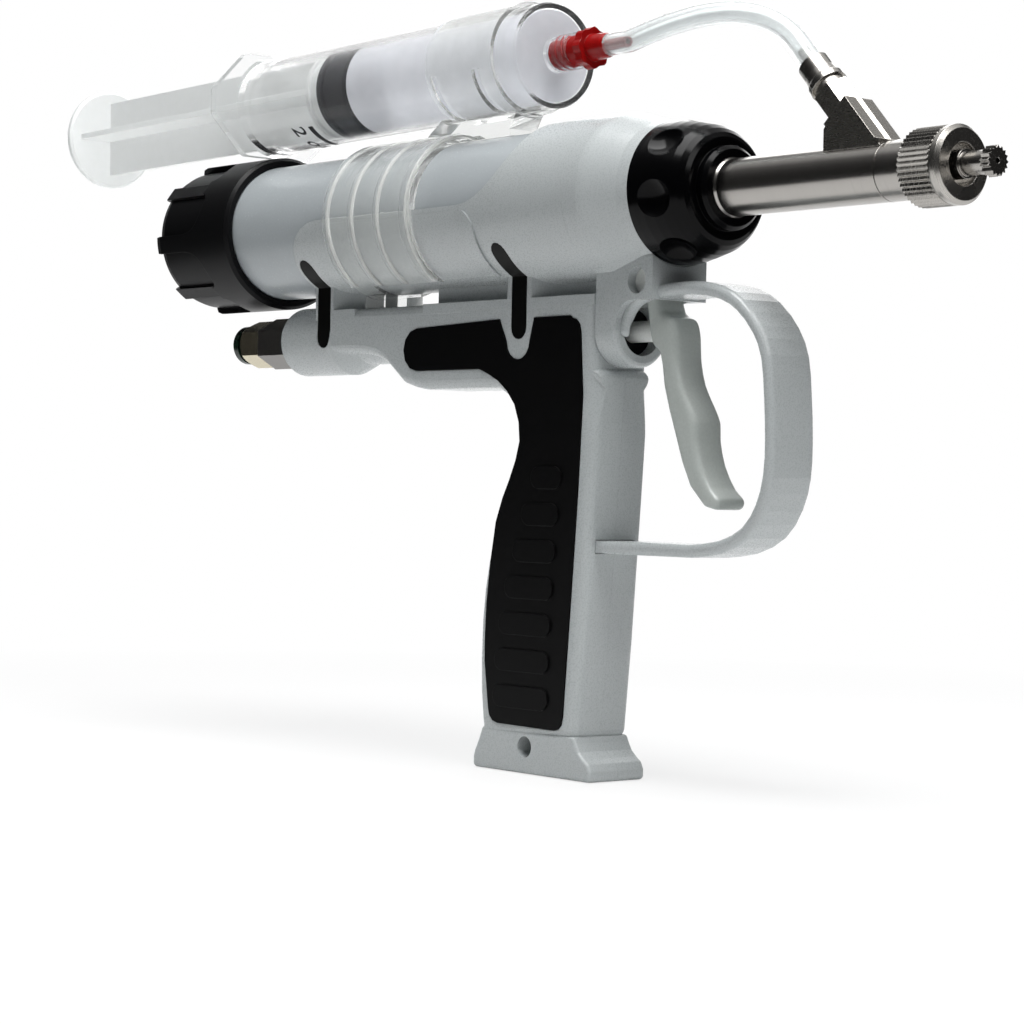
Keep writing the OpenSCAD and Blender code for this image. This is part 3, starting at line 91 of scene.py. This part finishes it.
# %% Two helpers for shader graphs
def add_node(tree, kind, operation=None, **values):
    """Adds a shader node.  Values go to its inputs, with underscores for the spaces in their names."""
    node = tree.nodes.new("ShaderNode" + kind)
    if operation:
        node.operation = operation
    for name, value in values.items():
        node.inputs[name.replace("_", " ")].default_value = value
    return node


def wire(tree, *pairs):
    """Links each pair's output to its input."""
    for output, target in pairs:
        tree.links.new(output, target)


# %% [markdown]
# ## The studio
# A product shot stands on a pale sweep under big soft lamps.  The floor here is a flat disc: to the camera
# it is mostly white by itself and wholly white at its rim, so no horizon shows and the shadow still does.
# The world is white to the camera and through clear plastic.  What gloss sees is a dim room with a bright
# ceiling, and a pale wall behind the gun.  The room shows past the floor's rim, as a dark band on the steel.

# %% Floor
FLOOR_RADIUS = 0.62
FLOOR_DROP = 0.0002
FADE_START = 0.35
FADE_END = 0.55
WHITE_SHARE = 0.72
bpy.ops.mesh.primitive_circle_add(vertices=96, radius=FLOOR_RADIUS, fill_type="NGON",
                                  location=(0.0, 0.0, -FLOOR_DROP))
floor = bpy.context.object
floor.name = "floor"
floor_material = bpy.data.materials.new("pale_floor")
floor_material.use_nodes = True
floor_tree = floor_material.node_tree
floor_tree.nodes.clear()
floor_place = add_node(floor_tree, "TexCoord")
floor_distance = add_node(floor_tree, "VectorMath", "LENGTH")
floor_fade = add_node(floor_tree, "MapRange", From_Min=FADE_START, From_Max=FADE_END, To_Min=WHITE_SHARE)
floor_rays = add_node(floor_tree, "LightPath")
floor_white_share = add_node(floor_tree, "Math", "MULTIPLY")
floor_plain = add_node(floor_tree, "BsdfDiffuse", Color=(0.82, 0.82, 0.82, 1.0))
floor_white = add_node(floor_tree, "Emission")
floor_mix = add_node(floor_tree, "MixShader")
floor_output = add_node(floor_tree, "OutputMaterial")
wire(floor_tree,
     (floor_place.outputs["Object"], floor_distance.inputs[0]),
     (floor_distance.outputs["Value"], floor_fade.inputs["Value"]),
     (floor_rays.outputs["Is Camera Ray"], floor_white_share.inputs[0]),
     (floor_fade.outputs[0], floor_white_share.inputs[1]),
     (floor_white_share.outputs[0], floor_mix.inputs[0]),
     (floor_plain.outputs[0], floor_mix.inputs[1]),
     (floor_white.outputs[0], floor_mix.inputs[2]),
     (floor_mix.outputs[0], floor_output.inputs["Surface"]))
floor.data.materials.append(floor_material)
print("floor radius:", FLOOR_RADIUS, "m")

# %% World
AMBIENT = 0.09
ROOM_GREYS = ((0.0, 0.03), (0.60, 0.03), (0.72, 0.06), (0.82, 0.14), (0.88, 0.75), (1.0, 1.0))
WALL_DIRECTION = (-0.77, 0.64, 0.0)
WALL_EDGE = 0.75
WALL_BRIGHTNESS = 1.6
world = bpy.data.worlds.new("studio")
bpy.context.scene.world = world
world.use_nodes = True
world_tree = world.node_tree
world_tree.nodes.clear()
sky_place = add_node(world_tree, "TexCoord")
sky_split = add_node(world_tree, "SeparateXYZ")
sky_height = add_node(world_tree, "MapRange", From_Min=-1.0)
room_ramp = add_node(world_tree, "ValToRGB")
for i, (position, grey) in enumerate(ROOM_GREYS):
    stops = room_ramp.color_ramp.elements
    stop = stops[i] if i < 2 else stops.new(position)
    stop.position = position
    stop.color = (grey, grey, grey, 1.0)
wall_facing = add_node(world_tree, "VectorMath", "DOT_PRODUCT")
wall_facing.inputs[1].default_value = WALL_DIRECTION
wall_share = add_node(world_tree, "MapRange", From_Min=WALL_EDGE, To_Max=WALL_BRIGHTNESS)
room_colour = add_node(world_tree, "VectorMath", "ADD")
ambient = add_node(world_tree, "Background", Color=(0.93, 0.96, 1.0, 1.0), Strength=AMBIENT)
room = add_node(world_tree, "Background")
white = add_node(world_tree, "Background", Color=(1.0, 1.0, 1.0, 1.0))
world_rays = add_node(world_tree, "LightPath")
sees_white = add_node(world_tree, "Math", "MAXIMUM")
lit_or_room = add_node(world_tree, "MixShader")
world_mix = add_node(world_tree, "MixShader")
world_output = add_node(world_tree, "OutputWorld")
wire(world_tree,
     (sky_place.outputs["Generated"], sky_split.inputs[0]),
     (sky_split.outputs["Z"], sky_height.inputs["Value"]),
     (sky_height.outputs[0], room_ramp.inputs["Fac"]),
     (sky_place.outputs["Generated"], wall_facing.inputs[0]),
     (wall_facing.outputs["Value"], wall_share.inputs["Value"]),
     (room_ramp.outputs["Color"], room_colour.inputs[0]),
     (wall_share.outputs[0], room_colour.inputs[1]),
     (room_colour.outputs[0], room.inputs["Color"]),
     (world_rays.outputs["Is Camera Ray"], sees_white.inputs[0]),
     (world_rays.outputs["Is Transmission Ray"], sees_white.inputs[1]),
     (world_rays.outputs["Is Glossy Ray"], lit_or_room.inputs[0]),
     (ambient.outputs[0], lit_or_room.inputs[1]),
     (room.outputs[0], lit_or_room.inputs[2]),
     (sees_white.outputs[0], world_mix.inputs[0]),
     (lit_or_room.outputs[0], world_mix.inputs[1]),
     (white.outputs[0], world_mix.inputs[2]),
     (world_mix.outputs[0], world_output.inputs["Surface"]))
print("world nodes:", len(world_tree.nodes))

# %% [markdown]
# Nearly all the light comes from one big lamp overhead, which gives each cylinder its pale top and dark side.
# The two others only lift the front and the far edges.

# %% Soft lamps
GUN_MIDDLE = Vector((-0.04, 0.0, 0.12))
LAMPS = (
    ("top_lamp", (0.12, -0.18, 1.15), 0.8, 18.0),
    ("front_lamp", (1.05, -0.15, 0.85), 0.5, 3.6),
    ("back_lamp", (-0.7, 0.9, 0.9), 0.8, 3.5),
)
for lamp_name, lamp_place, lamp_size, lamp_watts in LAMPS:
    lamp_data = bpy.data.lights.new(lamp_name, "AREA")
    lamp_data.size = lamp_size
    lamp_data.energy = lamp_watts
    lamp = bpy.data.objects.new(lamp_name, lamp_data)
    bpy.context.scene.collection.objects.link(lamp)
    lamp.location = lamp_place
    lamp.rotation_euler = (GUN_MIDDLE - Vector(lamp_place)).to_track_quat("-Z", "Y").to_euler()
bpy.context.scene.view_settings.view_transform = "Standard"
print("lamps:", len(LAMPS))

# %% [markdown]
# ## Finishes
# Every finish starts from the same recipe: a Principled shader, a fine noise that changes colour and
# roughness a little, and a bump from that noise.  The noise reads Object coordinates in metres, so its
# scale is the true size of the grain.  A Bevel node feeds the bump, so sharp moulded edges catch light.

# %% A finish with grain and softened edges
UNSTRETCHED = (1.0, 1.0, 1.0)
BUMP_STRENGTH = 0.6
LEAST_ROUGHNESS = 0.02


def finish(name, colour, roughness, metallic=0.0, grain=900.0, stretch=UNSTRETCHED, depth=0.00002,
           tone=0.06, spread=0.06, edge=0.0003, shine=0.5):
    """Makes a material whose tone and roughness vary with a noise of grain cycles a metre."""
    material = bpy.data.materials.new(name)
    material.use_nodes = True
    tree = material.node_tree
    shader = tree.nodes["Principled BSDF"]
    shader.inputs["Metallic"].default_value = metallic
    shader.inputs["Specular IOR Level"].default_value = shine
    place = add_node(tree, "TexCoord")
    mapping = add_node(tree, "Mapping", Scale=stretch)
    noise = add_node(tree, "TexNoise", Scale=grain, Detail=3.0)
    tones = add_node(tree, "ValToRGB")
    dark, pale = tones.color_ramp.elements
    dark.position = 0.3
    dark.color = (*[c * (1.0 - tone) for c in colour], 1.0)
    pale.position = 0.7
    pale.color = (*[min(1.0, c * (1.0 + tone)) for c in colour], 1.0)
    polish = add_node(tree, "MapRange", To_Min=max(LEAST_ROUGHNESS, roughness - spread),
                      To_Max=roughness + spread)
    bump = add_node(tree, "Bump", Strength=BUMP_STRENGTH, Distance=depth)
    wire(tree,
         (place.outputs["Object"], mapping.inputs["Vector"]),
         (mapping.outputs[0], noise.inputs["Vector"]),
         (noise.outputs["Fac"], tones.inputs["Fac"]),
         (tones.outputs["Color"], shader.inputs["Base Color"]),
         (noise.outputs["Fac"], polish.inputs["Value"]),
         (polish.outputs[0], shader.inputs["Roughness"]),
         (noise.outputs["Fac"], bump.inputs["Height"]),
         (bump.outputs[0], shader.inputs["Normal"]))
    if edge > 0.0:
        rounding = add_node(tree, "Bevel", Radius=edge)
        wire(tree, (rounding.outputs[0], bump.inputs["Normal"]))
    return material


# %% [markdown]
# Moulded housings are nylon: satin, with a grain finer than a millimetre.  The barrel is a painted tube and
# a little bluer.  The blacks are very dark and hardly shiny, or the white floor would turn them grey.

# %% Plastics and rubber
moulded_grey = finish("moulded_grey", (0.425, 0.452, 0.455), 0.28,
                      grain=2600.0, depth=0.000012, tone=0.03)
barrel_paint = finish("barrel_paint", (0.375, 0.405, 0.42), 0.25,
                      grain=1800.0, depth=0.000008, tone=0.03)
trigger_plastic = finish("trigger_plastic", (0.42, 0.45, 0.43), 0.24,
                         grain=1500.0, depth=0.00001, tone=0.04)
cap_gloss = finish("cap_gloss", (0.0010, 0.0010, 0.0013), 0.17,
                   grain=700.0, depth=0.000004, spread=0.03, shine=0.10)
knob_satin = finish("knob_satin", (0.003, 0.003, 0.0035), 0.38,
                    grain=2400.0, depth=0.00002, shine=0.14)
strap_satin = finish("strap_satin", (0.003, 0.0029, 0.0028), 0.36,
                     grain=2200.0, depth=0.00001, shine=0.08)
grip_rubber = finish("grip_rubber", (0.0016, 0.0016, 0.0018), 0.40,
                     grain=3000.0, depth=0.00002, shine=0.08)
seal_rubber = finish("seal_rubber", (0.003, 0.0035, 0.007), 0.40,
                     grain=1200.0, depth=0.00001, shine=0.15)
white_plastic = finish("white_plastic", (0.60, 0.62, 0.60), 0.36, grain=1600.0)
collar_green = finish("collar_green", (0.004, 0.016, 0.010), 0.22, grain=1200.0, depth=0.000004)
luer_red = finish("luer_red", (0.27, 0.004, 0.004), 0.24, grain=900.0, depth=0.000006, shine=0.25)
print_ink = finish("print_ink", (0.008, 0.008, 0.010), 0.5,
                   grain=2000.0, depth=0.0, edge=0.0, shine=0.3)
print("materials so far:", len(bpy.data.materials))

# %% [markdown]
# Steel turned on a lathe carries fine rings round its axis, so its noise is squeezed along X.
# A milled block has straight cutter marks instead, and wire is simply bright.

# %% Metals
TURNED = (6.0, 0.12, 0.12)
MILLED = (1.0, 1.0, 7.0)
turned_steel = finish("turned_steel", (0.37, 0.355, 0.335), 0.20, 1.0,
                      grain=1100.0, stretch=TURNED, depth=0.000006)
milled_steel = finish("milled_steel", (0.42, 0.40, 0.37), 0.28, 1.0,
                      grain=900.0, stretch=MILLED, depth=0.000006)
knurled_steel = finish("knurled_steel", (0.40, 0.385, 0.36), 0.26, 1.0,
                       grain=1100.0, stretch=TURNED, depth=0.000006)
bright_steel = finish("bright_steel", (0.66, 0.66, 0.65), 0.18, 1.0, grain=1500.0, depth=0.000004)
dark_steel = finish("dark_steel", (0.23, 0.22, 0.21), 0.32, 1.0, grain=1500.0, depth=0.000008)
aluminium = finish("aluminium", (0.62, 0.62, 0.64), 0.34, 1.0,
                   grain=1100.0, stretch=TURNED, depth=0.00001)
pale_brass = finish("pale_brass", (0.66, 0.60, 0.44), 0.24, 1.0, grain=1500.0, depth=0.000006)
print("materials so far:", len(bpy.data.materials))

# %% [markdown]
# ## See-through plastics
# The syringe is clear polypropylene, its plunger is milky, the clip that holds it is thin and clear, and the
# hose is soft clear PVC.  Rough transmission blurs what is far behind a wall and keeps sharp what touches it,
# so the seal reads as a dark band.  Full glass would throw a black shadow, so shadow rays pass through.

# %% A cloudy wall
SHADOW_TINT = (0.92, 0.92, 0.92, 1.0)


def cloudy(name, colour, clear, roughness, ior):
    """Makes a plastic of which a clear share lets light through and the rest is milk."""
    material = finish(name, colour, roughness, grain=300.0, depth=0.000006, tone=0.02, spread=0.03)
    tree = material.node_tree
    shader = tree.nodes["Principled BSDF"]
    shader.inputs["Transmission Weight"].default_value = clear
    shader.inputs["IOR"].default_value = ior
    rays = add_node(tree, "LightPath")
    passes = add_node(tree, "Math", "MAXIMUM")
    open_wall = add_node(tree, "BsdfTransparent", Color=SHADOW_TINT)
    mix = add_node(tree, "MixShader")
    wire(tree,
         (rays.outputs["Is Shadow Ray"], passes.inputs[0]),
         (rays.outputs["Is Diffuse Ray"], passes.inputs[1]),
         (passes.outputs[0], mix.inputs[0]),
         (shader.outputs[0], mix.inputs[1]),
         (open_wall.outputs[0], mix.inputs[2]),
         (mix.outputs[0], tree.nodes["Material Output"].inputs["Surface"]))
    return material


syringe_clear = cloudy("syringe_clear", (0.98, 0.99, 0.99), clear=0.99, roughness=0.10, ior=1.22)
plunger_clear = cloudy("plunger_clear", (0.96, 0.985, 0.975), clear=0.34, roughness=0.36, ior=1.45)
adhesive = cloudy("adhesive", (0.90, 0.915, 0.965), clear=0.45, roughness=0.6, ior=1.25)
saddle_clear = cloudy("saddle_clear", (0.95, 0.96, 0.95), clear=0.94, roughness=0.10, ior=1.16)
bead_clear = cloudy("bead_clear", (0.84, 0.85, 0.83), clear=0.65, roughness=0.16, ior=1.30)
hose_clear = cloudy("hose_clear", (0.84, 0.87, 0.87), clear=0.80, roughness=0.12, ior=1.33)
print("materials:", len(bpy.data.materials))

# %% [markdown]
# ## Putting the finishes on the CAD pieces
# A CAD piece keeps its mesh and only changes its material.  One table says which pieces share a finish.

# %% Assign the finishes
FINISHES = (
    (moulded_grey, "frame_right frame_left front_housing"),
    (barrel_paint, "barrel_tube"),
    (trigger_plastic, "trigger"),
    (cap_gloss, "nose_cap"),
    (knob_satin, "dose_knob valve_body"),
    (strap_satin, "strap_inserts"),
    (grip_rubber, "grip_insert_right grip_insert_left"),
    (seal_rubber, "piston_seal gland_seal rod_seal syringe_seal"),
    (white_plastic, "dosing_plunger pivot_pin valve_stem"),
    (collar_green, "release_collar"),
    (luer_red, "luer_adapter"),
    (turned_steel, "dosing_tube outlet_body nozzle hose_ferrule"),
    (milled_steel, "inlet_block"),
    (knurled_steel, "collar_nut"),
    (bright_steel, "knob_retaining_ring dose_stop piston_rod return_spring valve_spring"),
    (bright_steel, "inlet_check_ball outlet_check_ball case_screws"),
    (dark_steel, "inlet_fitting"),
    (aluminium, "rear_plug piston front_gland"),
    (pale_brass, "supply_tube transfer_tube fitting_ring"),
    (syringe_clear, "syringe_barrel"),
    (plunger_clear, "syringe_plunger"),
    (saddle_clear, "syringe_saddle"),
    (hose_clear, "feed_hose"),
)
finished = 0
for material, names in FINISHES:
    for name in names.split():
        nodes[name].data.materials.clear()
        nodes[name].data.materials.append(material)
        finished += 1
print("finished:", finished, "of", len(nodes))

# %% [markdown]
# ## Places on the gun
# New pieces are drawn in the part's own places: from the nose cap's rear rim, along the syringe's tilted
# axis, or up the feed port.  Three functions turn millimetres in those places into metres in the frame.

# %% Three ways to name a place
NOSE = Vector((0.046, 0.0, 0.160))
SYRINGE_TILT = math.radians(0.8)
SHOULDER_X = -52.6
SHOULDER_Z = 42.9
PORT_ANGLE = math.radians(47.0)
PORT_FOOT = 76.0


def near_barrel(x, z, y=0.0):
    """A place in millimetres from the middle of the nose cap's rear rim."""
    return NOSE + Vector((x, y, z)) * MM


def on_syringe(x, y=0.0, z=0.0):
    """A place in millimetres from the syringe's shoulder, along and across its tilted axis."""
    along = x * math.cos(SYRINGE_TILT) - z * math.sin(SYRINGE_TILT)
    up = x * math.sin(SYRINGE_TILT) + z * math.cos(SYRINGE_TILT)
    return near_barrel(SHOULDER_X + along, SHOULDER_Z + up, y)


def on_port(s):
    """A place s millimetres up the feed port's axis."""
    return near_barrel(PORT_FOOT - s * math.cos(PORT_ANGLE), s * math.sin(PORT_ANGLE))


print("syringe shoulder:", [round(v, 4) for v in on_syringe(0.0)])

# %% [markdown]
# ## Round sections swept along a line
# The hose, the springs, the thread and the beads are all a round section swept along a line.  A curve with
# a bevel does that with even rings, where a row of cylinders would kink.  It becomes a mesh at the end.

# %% Sweep a section and dress a piece
MERGE_DISTANCE = 0.00001
SMOOTH_BELOW = math.radians(50)


def swept(name, points, radius, sides=12, caps=True):
    """Makes a mesh tube of the given radius round the points."""
    bpy.ops.curve.primitive_nurbs_path_add(location=(0.0, 0.0, 0.0))
    line = bpy.context.object
    line.name = name
    line.data.splines.clear()
    spline = line.data.splines.new("POLY")
    spline.points.add(len(points) - 1)
    for place, point in zip(spline.points, points):
        place.co = (*point, 1.0)
    line.data.twist_mode = "MINIMUM"
    line.data.bevel_depth = radius
    line.data.bevel_resolution = sides // 4 - 1
    line.data.use_fill_caps = caps
    bpy.ops.object.convert(target="MESH")
    piece = bpy.context.object
    bpy.ops.object.mode_set(mode="EDIT")
    bpy.ops.mesh.select_all(action="SELECT")
    bpy.ops.mesh.remove_doubles(threshold=MERGE_DISTANCE)
    bpy.ops.mesh.normals_make_consistent(inside=False)
    bpy.ops.object.mode_set(mode="OBJECT")
    bpy.ops.object.shade_smooth_by_angle(angle=SMOOTH_BELOW)
    piece.select_set(False)
    return piece


def dress(piece, material, body, slot, *replaced):
    """Gives a new piece its material and body, and hides the CAD nodes that it stands for.  The slot argument
    is not used.
    """
    piece.data.materials.clear()
    piece.data.materials.append(material)
    if body:
        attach(piece, body)
    if replaced:
        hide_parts(*replaced)
    print(piece.name, "faces:", len(piece.data.polygons))


# %% [markdown]
# ## The feed hose
# Clear PVC hose is cut from a roll, pushed over the red adapter's barb at one end and clamped by the ferrule
# at the other.  Between them it arches by its own stiffness.  A few points give its route, a Catmull-Rom
# curve through them makes the arch round, and Solidify gives the hose its wall and bore.

# %% Feed hose
HOSE_D = 6.3
HOSE_BORE = 3.4
HOSE_STEPS = 10
CONE_END = 22.9
ON_BARB = (0.0, 4.0, 8.5)
ARCH = ((-14, 44.6), (-4, 46), (8, 46.8), (20, 46), (31, 43.2), (40, 38.2))
IN_FERRULE = (41.8, 35.0)


def rounded(points, steps):
    """A Catmull-Rom curve through the points."""
    line = []
    for i in range(len(points) - 1):
        a, b = points[max(i - 1, 0)], points[i]
        c, d = points[i + 1], points[min(i + 2, len(points) - 1)]
        for k in range(steps):
            t = k / steps
            line.append(0.5 * (2 * b + (c - a) * t + (2 * a - 5 * b + 4 * c - d) * t * t
                               + (3 * b - a - 3 * c + d) * t ** 3))
    return line + [points[-1]]


hose_route = [on_syringe(CONE_END + x) for x in ON_BARB]
hose_route += [near_barrel(x, z) for x, z in ARCH]
hose_route += [on_port(s) for s in IN_FERRULE]
hose_line = rounded(hose_route, HOSE_STEPS)
hose = swept("clear_feed_hose", hose_line, HOSE_D / 2 * MM, sides=32, caps=False)
wall = hose.modifiers.new("wall", "SOLIDIFY")
wall.thickness = (HOSE_D - HOSE_BORE) / 2 * MM
wall.offset = -1.0
bpy.context.view_layer.objects.active = hose
bpy.ops.object.modifier_apply(modifier="wall")
dress(hose, hose_clear, "gun", "clear_hose", "feed_hose")

# %% [markdown]
# ## The springs
# The return spring in the barrel and the small valve spring in the grip are wound from round wire on
# a mandrel.  The Screw modifier could turn a circle into one, but points on a helix keep the wire's ends
# inside the length.

# %% Wound springs
STEPS_A_TURN = 24
PISTON_FACE = near_barrel(-131.0, 0.0)
VALVE_SEAT = near_barrel(-60.0, -36.7)


def wound(name, start, length, coil_radius, wire_d, turns):
    """One helix along X, with its wire's ends inside the length."""
    steps = turns * STEPS_A_TURN
    points = []
    for i in range(steps + 1):
        turn = 2 * math.pi * i / STEPS_A_TURN
        x = wire_d / 2 + (length - wire_d) * i / steps
        across = (coil_radius * math.cos(turn), coil_radius * math.sin(turn))
        points.append(start + Vector((x, *across)) * MM)
    return swept(name, points, wire_d / 2 * MM)


return_spring = wound("wound_return_spring", PISTON_FACE,
                      length=101.0, coil_radius=13.0, wire_d=2.2, turns=12)
dress(return_spring, bright_steel, "gun", "steel", "return_spring")
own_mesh(return_spring)
valve_spring = wound("wound_valve_spring", VALVE_SEAT,
                     length=8.4, coil_radius=3.1, wire_d=0.8, turns=5)
dress(valve_spring, bright_steel, "gun", "steel", "valve_spring")
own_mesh(valve_spring)

# %% [markdown]
# ## The luer thread
# A luer lock holds by a coarse double thread, and the red one shows through the syringe's clear collar.
# Cutting it into the adapter would change the CAD piece, so two helices half a turn apart stand out of it.

# %% Thread on the red adapter
THREAD_START = 1.9
THREAD_LENGTH = 6.4
THREAD_RADIUS = 4.05
THREAD_RIDGE = 0.42
THREAD_TURNS = 1.25
THREAD_STEPS = 60
for number, start_turn in enumerate((0.0, math.pi), start=1):
    points = []
    for i in range(THREAD_STEPS + 1):
        turn = start_turn + 2 * math.pi * THREAD_TURNS * i / THREAD_STEPS
        x = THREAD_START + THREAD_LENGTH * i / THREAD_STEPS
        points.append(on_syringe(x, THREAD_RADIUS * math.cos(turn), THREAD_RADIUS * math.sin(turn)))
    ridge = swept("luer_thread_%d" % number, points, THREAD_RIDGE * MM, sides=8)
    dress(ridge, luer_red, "gun", "luer_red")

# %% [markdown]
# ## The softer trigger
# A moulded lever has no hard edge anywhere.  A voxel remesh of its CAD form, smoothed a little, rounds
# every edge alike.  Bevelling the copied mesh would fail where its many small faces meet.


# %% Copy a CAD piece as one soft skin
def softened(node, name, voxel, passes):
    """A copy of a CAD piece whose edges are rounded by a remesh and smoothing passes."""
    piece = bpy.data.objects.new(name, nodes[node].data.copy())
    bpy.context.scene.collection.objects.link(piece)
    piece.matrix_world = nodes[node].matrix_world.copy()
    bpy.context.view_layer.objects.active = piece
    piece.select_set(True)
    bpy.ops.object.transform_apply(location=True, rotation=True, scale=True)
    bpy.ops.object.mode_set(mode="EDIT")
    bpy.ops.mesh.select_all(action="SELECT")
    bpy.ops.mesh.remove_doubles(threshold=MERGE_DISTANCE)
    bpy.ops.object.mode_set(mode="OBJECT")
    skin = piece.modifiers.new("skin", "REMESH")
    skin.mode = "VOXEL"
    skin.voxel_size = voxel * MM
    skin.use_smooth_shade = True
    bpy.ops.object.modifier_apply(modifier="skin")
    soft = piece.modifiers.new("soft", "SMOOTH")
    soft.factor = 0.5
    soft.iterations = passes
    bpy.ops.object.modifier_apply(modifier="soft")
    piece.select_set(False)
    return piece


soft_trigger = softened("trigger", "moulded_trigger", voxel=0.4, passes=8)
dress(soft_trigger, trigger_plastic, "trigger", "trigger_grey", "trigger")

# %% [markdown]
# ## The clip's beads
# The clip round the barrel is a thin clear moulding with four round beads that keep it from splitting.
# In the CAD model they are square steps.  A torus would close below, where the clip is open, so each bead
# is a round section swept along an arc.

# %% Beads on the clip
BEAD_RADIUS = 0.62
BEAD_LINE = 22.95
BEAD_PLACES = (-130.3, -118.0, -105.4, -91.6)
ARC_START = -60.0
ARC_SWEEP = 300.0
ARC_STEPS = 96
for number, x in enumerate(BEAD_PLACES, start=1):
    points = []
    for i in range(ARC_STEPS + 1):
        angle = math.radians(ARC_START + ARC_SWEEP * i / ARC_STEPS)
        points.append(near_barrel(x, BEAD_LINE * math.sin(angle), BEAD_LINE * math.cos(angle)))
    bead = swept("clip_bead_%d" % number, points, BEAD_RADIUS * MM)
    dress(bead, bead_clear, "gun", "clear_syringe")

# %% [markdown]
# ## What the syringe holds
# Ahead of the seal the syringe is full of adhesive, which looks pale and cloudy and hides the seal's face.
# It is a plain cylinder between the seal and the shoulder.

# %% Adhesive ahead of the seal
SEAL_FRONT = -82.8
SHOULDER_WALL = 2.0
FILL_RADIUS = 13.1
END_GAP = 0.15
fill_length = -SEAL_FRONT - SHOULDER_WALL - 2 * END_GAP
fill_middle = SEAL_FRONT + END_GAP + fill_length / 2
bpy.ops.mesh.primitive_cylinder_add(vertices=64, radius=FILL_RADIUS * MM, depth=fill_length * MM)
fill = bpy.context.object
fill.name = "adhesive_fill"
fill.matrix_world = (Matrix.Translation(on_syringe(fill_middle))
                     @ Matrix.Rotation(-SYRINGE_TILT, 4, "Y")
                     @ Matrix.Rotation(math.pi / 2, 4, "Y"))
bpy.ops.object.transform_apply(location=True, rotation=True, scale=True)
bpy.ops.object.shade_smooth_by_angle(angle=SMOOTH_BELOW)
fill.select_set(False)
dress(fill, adhesive, None, "clear_syringe")
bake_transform(fill)
print("adhesive_fill length, mm:", round(fill_length, 1))

# %% [markdown]
# ## The printed scale
# A reservoir syringe has its volumes printed round its outside.  An image could carry them, but shapes stay
# sharp in a mesh: text and strokes are made flat, cut finely and wrapped round the tube, a hair above it.

# %% Wrap flat print round the syringe
PRINT_RADIUS = 15.03
MM_PER_ML = 1.786
ZERO_MARK = -2.0
ZERO_NUMBER = -3.2
LONG_MARK = 7.0
SHORT_MARK = 4.5
MARK_WIDTH = 0.45
NUMBER_SIZE = 3.6
MARK_ANGLE = 276.0
NUMBER_ANGLE = 306.0


def wrapped(piece, start_x, start_angle):
    """Lays a flat piece, drawn in millimetres, round the syringe from a start angle in degrees."""
    bpy.context.view_layer.objects.active = piece
    piece.select_set(True)
    bpy.ops.object.mode_set(mode="EDIT")
    bpy.ops.mesh.select_all(action="SELECT")
    bpy.ops.mesh.quads_convert_to_tris()
    bpy.ops.mesh.subdivide(number_cuts=2)
    bpy.ops.object.mode_set(mode="OBJECT")
    for vertex in piece.data.vertices:
        angle = math.radians(start_angle) + vertex.co.x / PRINT_RADIUS
        across = (PRINT_RADIUS * math.cos(angle), PRINT_RADIUS * math.sin(angle))
        vertex.co = on_syringe(start_x + vertex.co.y, *across)
    piece.select_set(False)
    return piece


def printed_text(words, size, x, angle):
    """Prints words that read round the syringe, with their tops towards the nozzle."""
    bpy.ops.object.text_add(location=(0.0, 0.0, 0.0))
    text = bpy.context.object
    text.data.body = words
    text.data.size = size
    text.data.resolution_u = 3
    text.data.offset = 0.012 * size
    bpy.ops.object.convert(target="MESH")
    return wrapped(bpy.context.object, x, angle)


def printed_stroke(length, thickness, x, angle):
    """Prints one stroke round the syringe."""
    bpy.ops.mesh.primitive_grid_add(x_subdivisions=int(length), y_subdivisions=1, size=1.0)
    stroke = bpy.context.object
    for vertex in stroke.data.vertices:
        vertex.co = ((vertex.co.x + 0.5) * length, vertex.co.y * thickness, 0.0)
    return wrapped(stroke, x, angle)


prints = [
    printed_text("2 oz", size=8.4, x=-115.0, angle=221.0),
    printed_stroke(length=12.0, thickness=2.4, x=-105.4, angle=224.0),
]
for ml in range(0, 61, 5):
    numbered = ml % 10 == 0
    mark = LONG_MARK if numbered else SHORT_MARK
    prints.append(printed_stroke(mark, MARK_WIDTH, ZERO_MARK - ml * MM_PER_ML, MARK_ANGLE))
    if numbered and ml > 0:
        prints.append(printed_text(str(ml), NUMBER_SIZE, ZERO_NUMBER - ml * MM_PER_ML, NUMBER_ANGLE))
for piece in prints:
    piece.select_set(True)
bpy.context.view_layer.objects.active = prints[0]
bpy.ops.object.join()
scale_print = bpy.context.object
scale_print.name = "printed_scale"
scale_print.select_set(False)
dress(scale_print, print_ink, "gun", "clear_syringe")
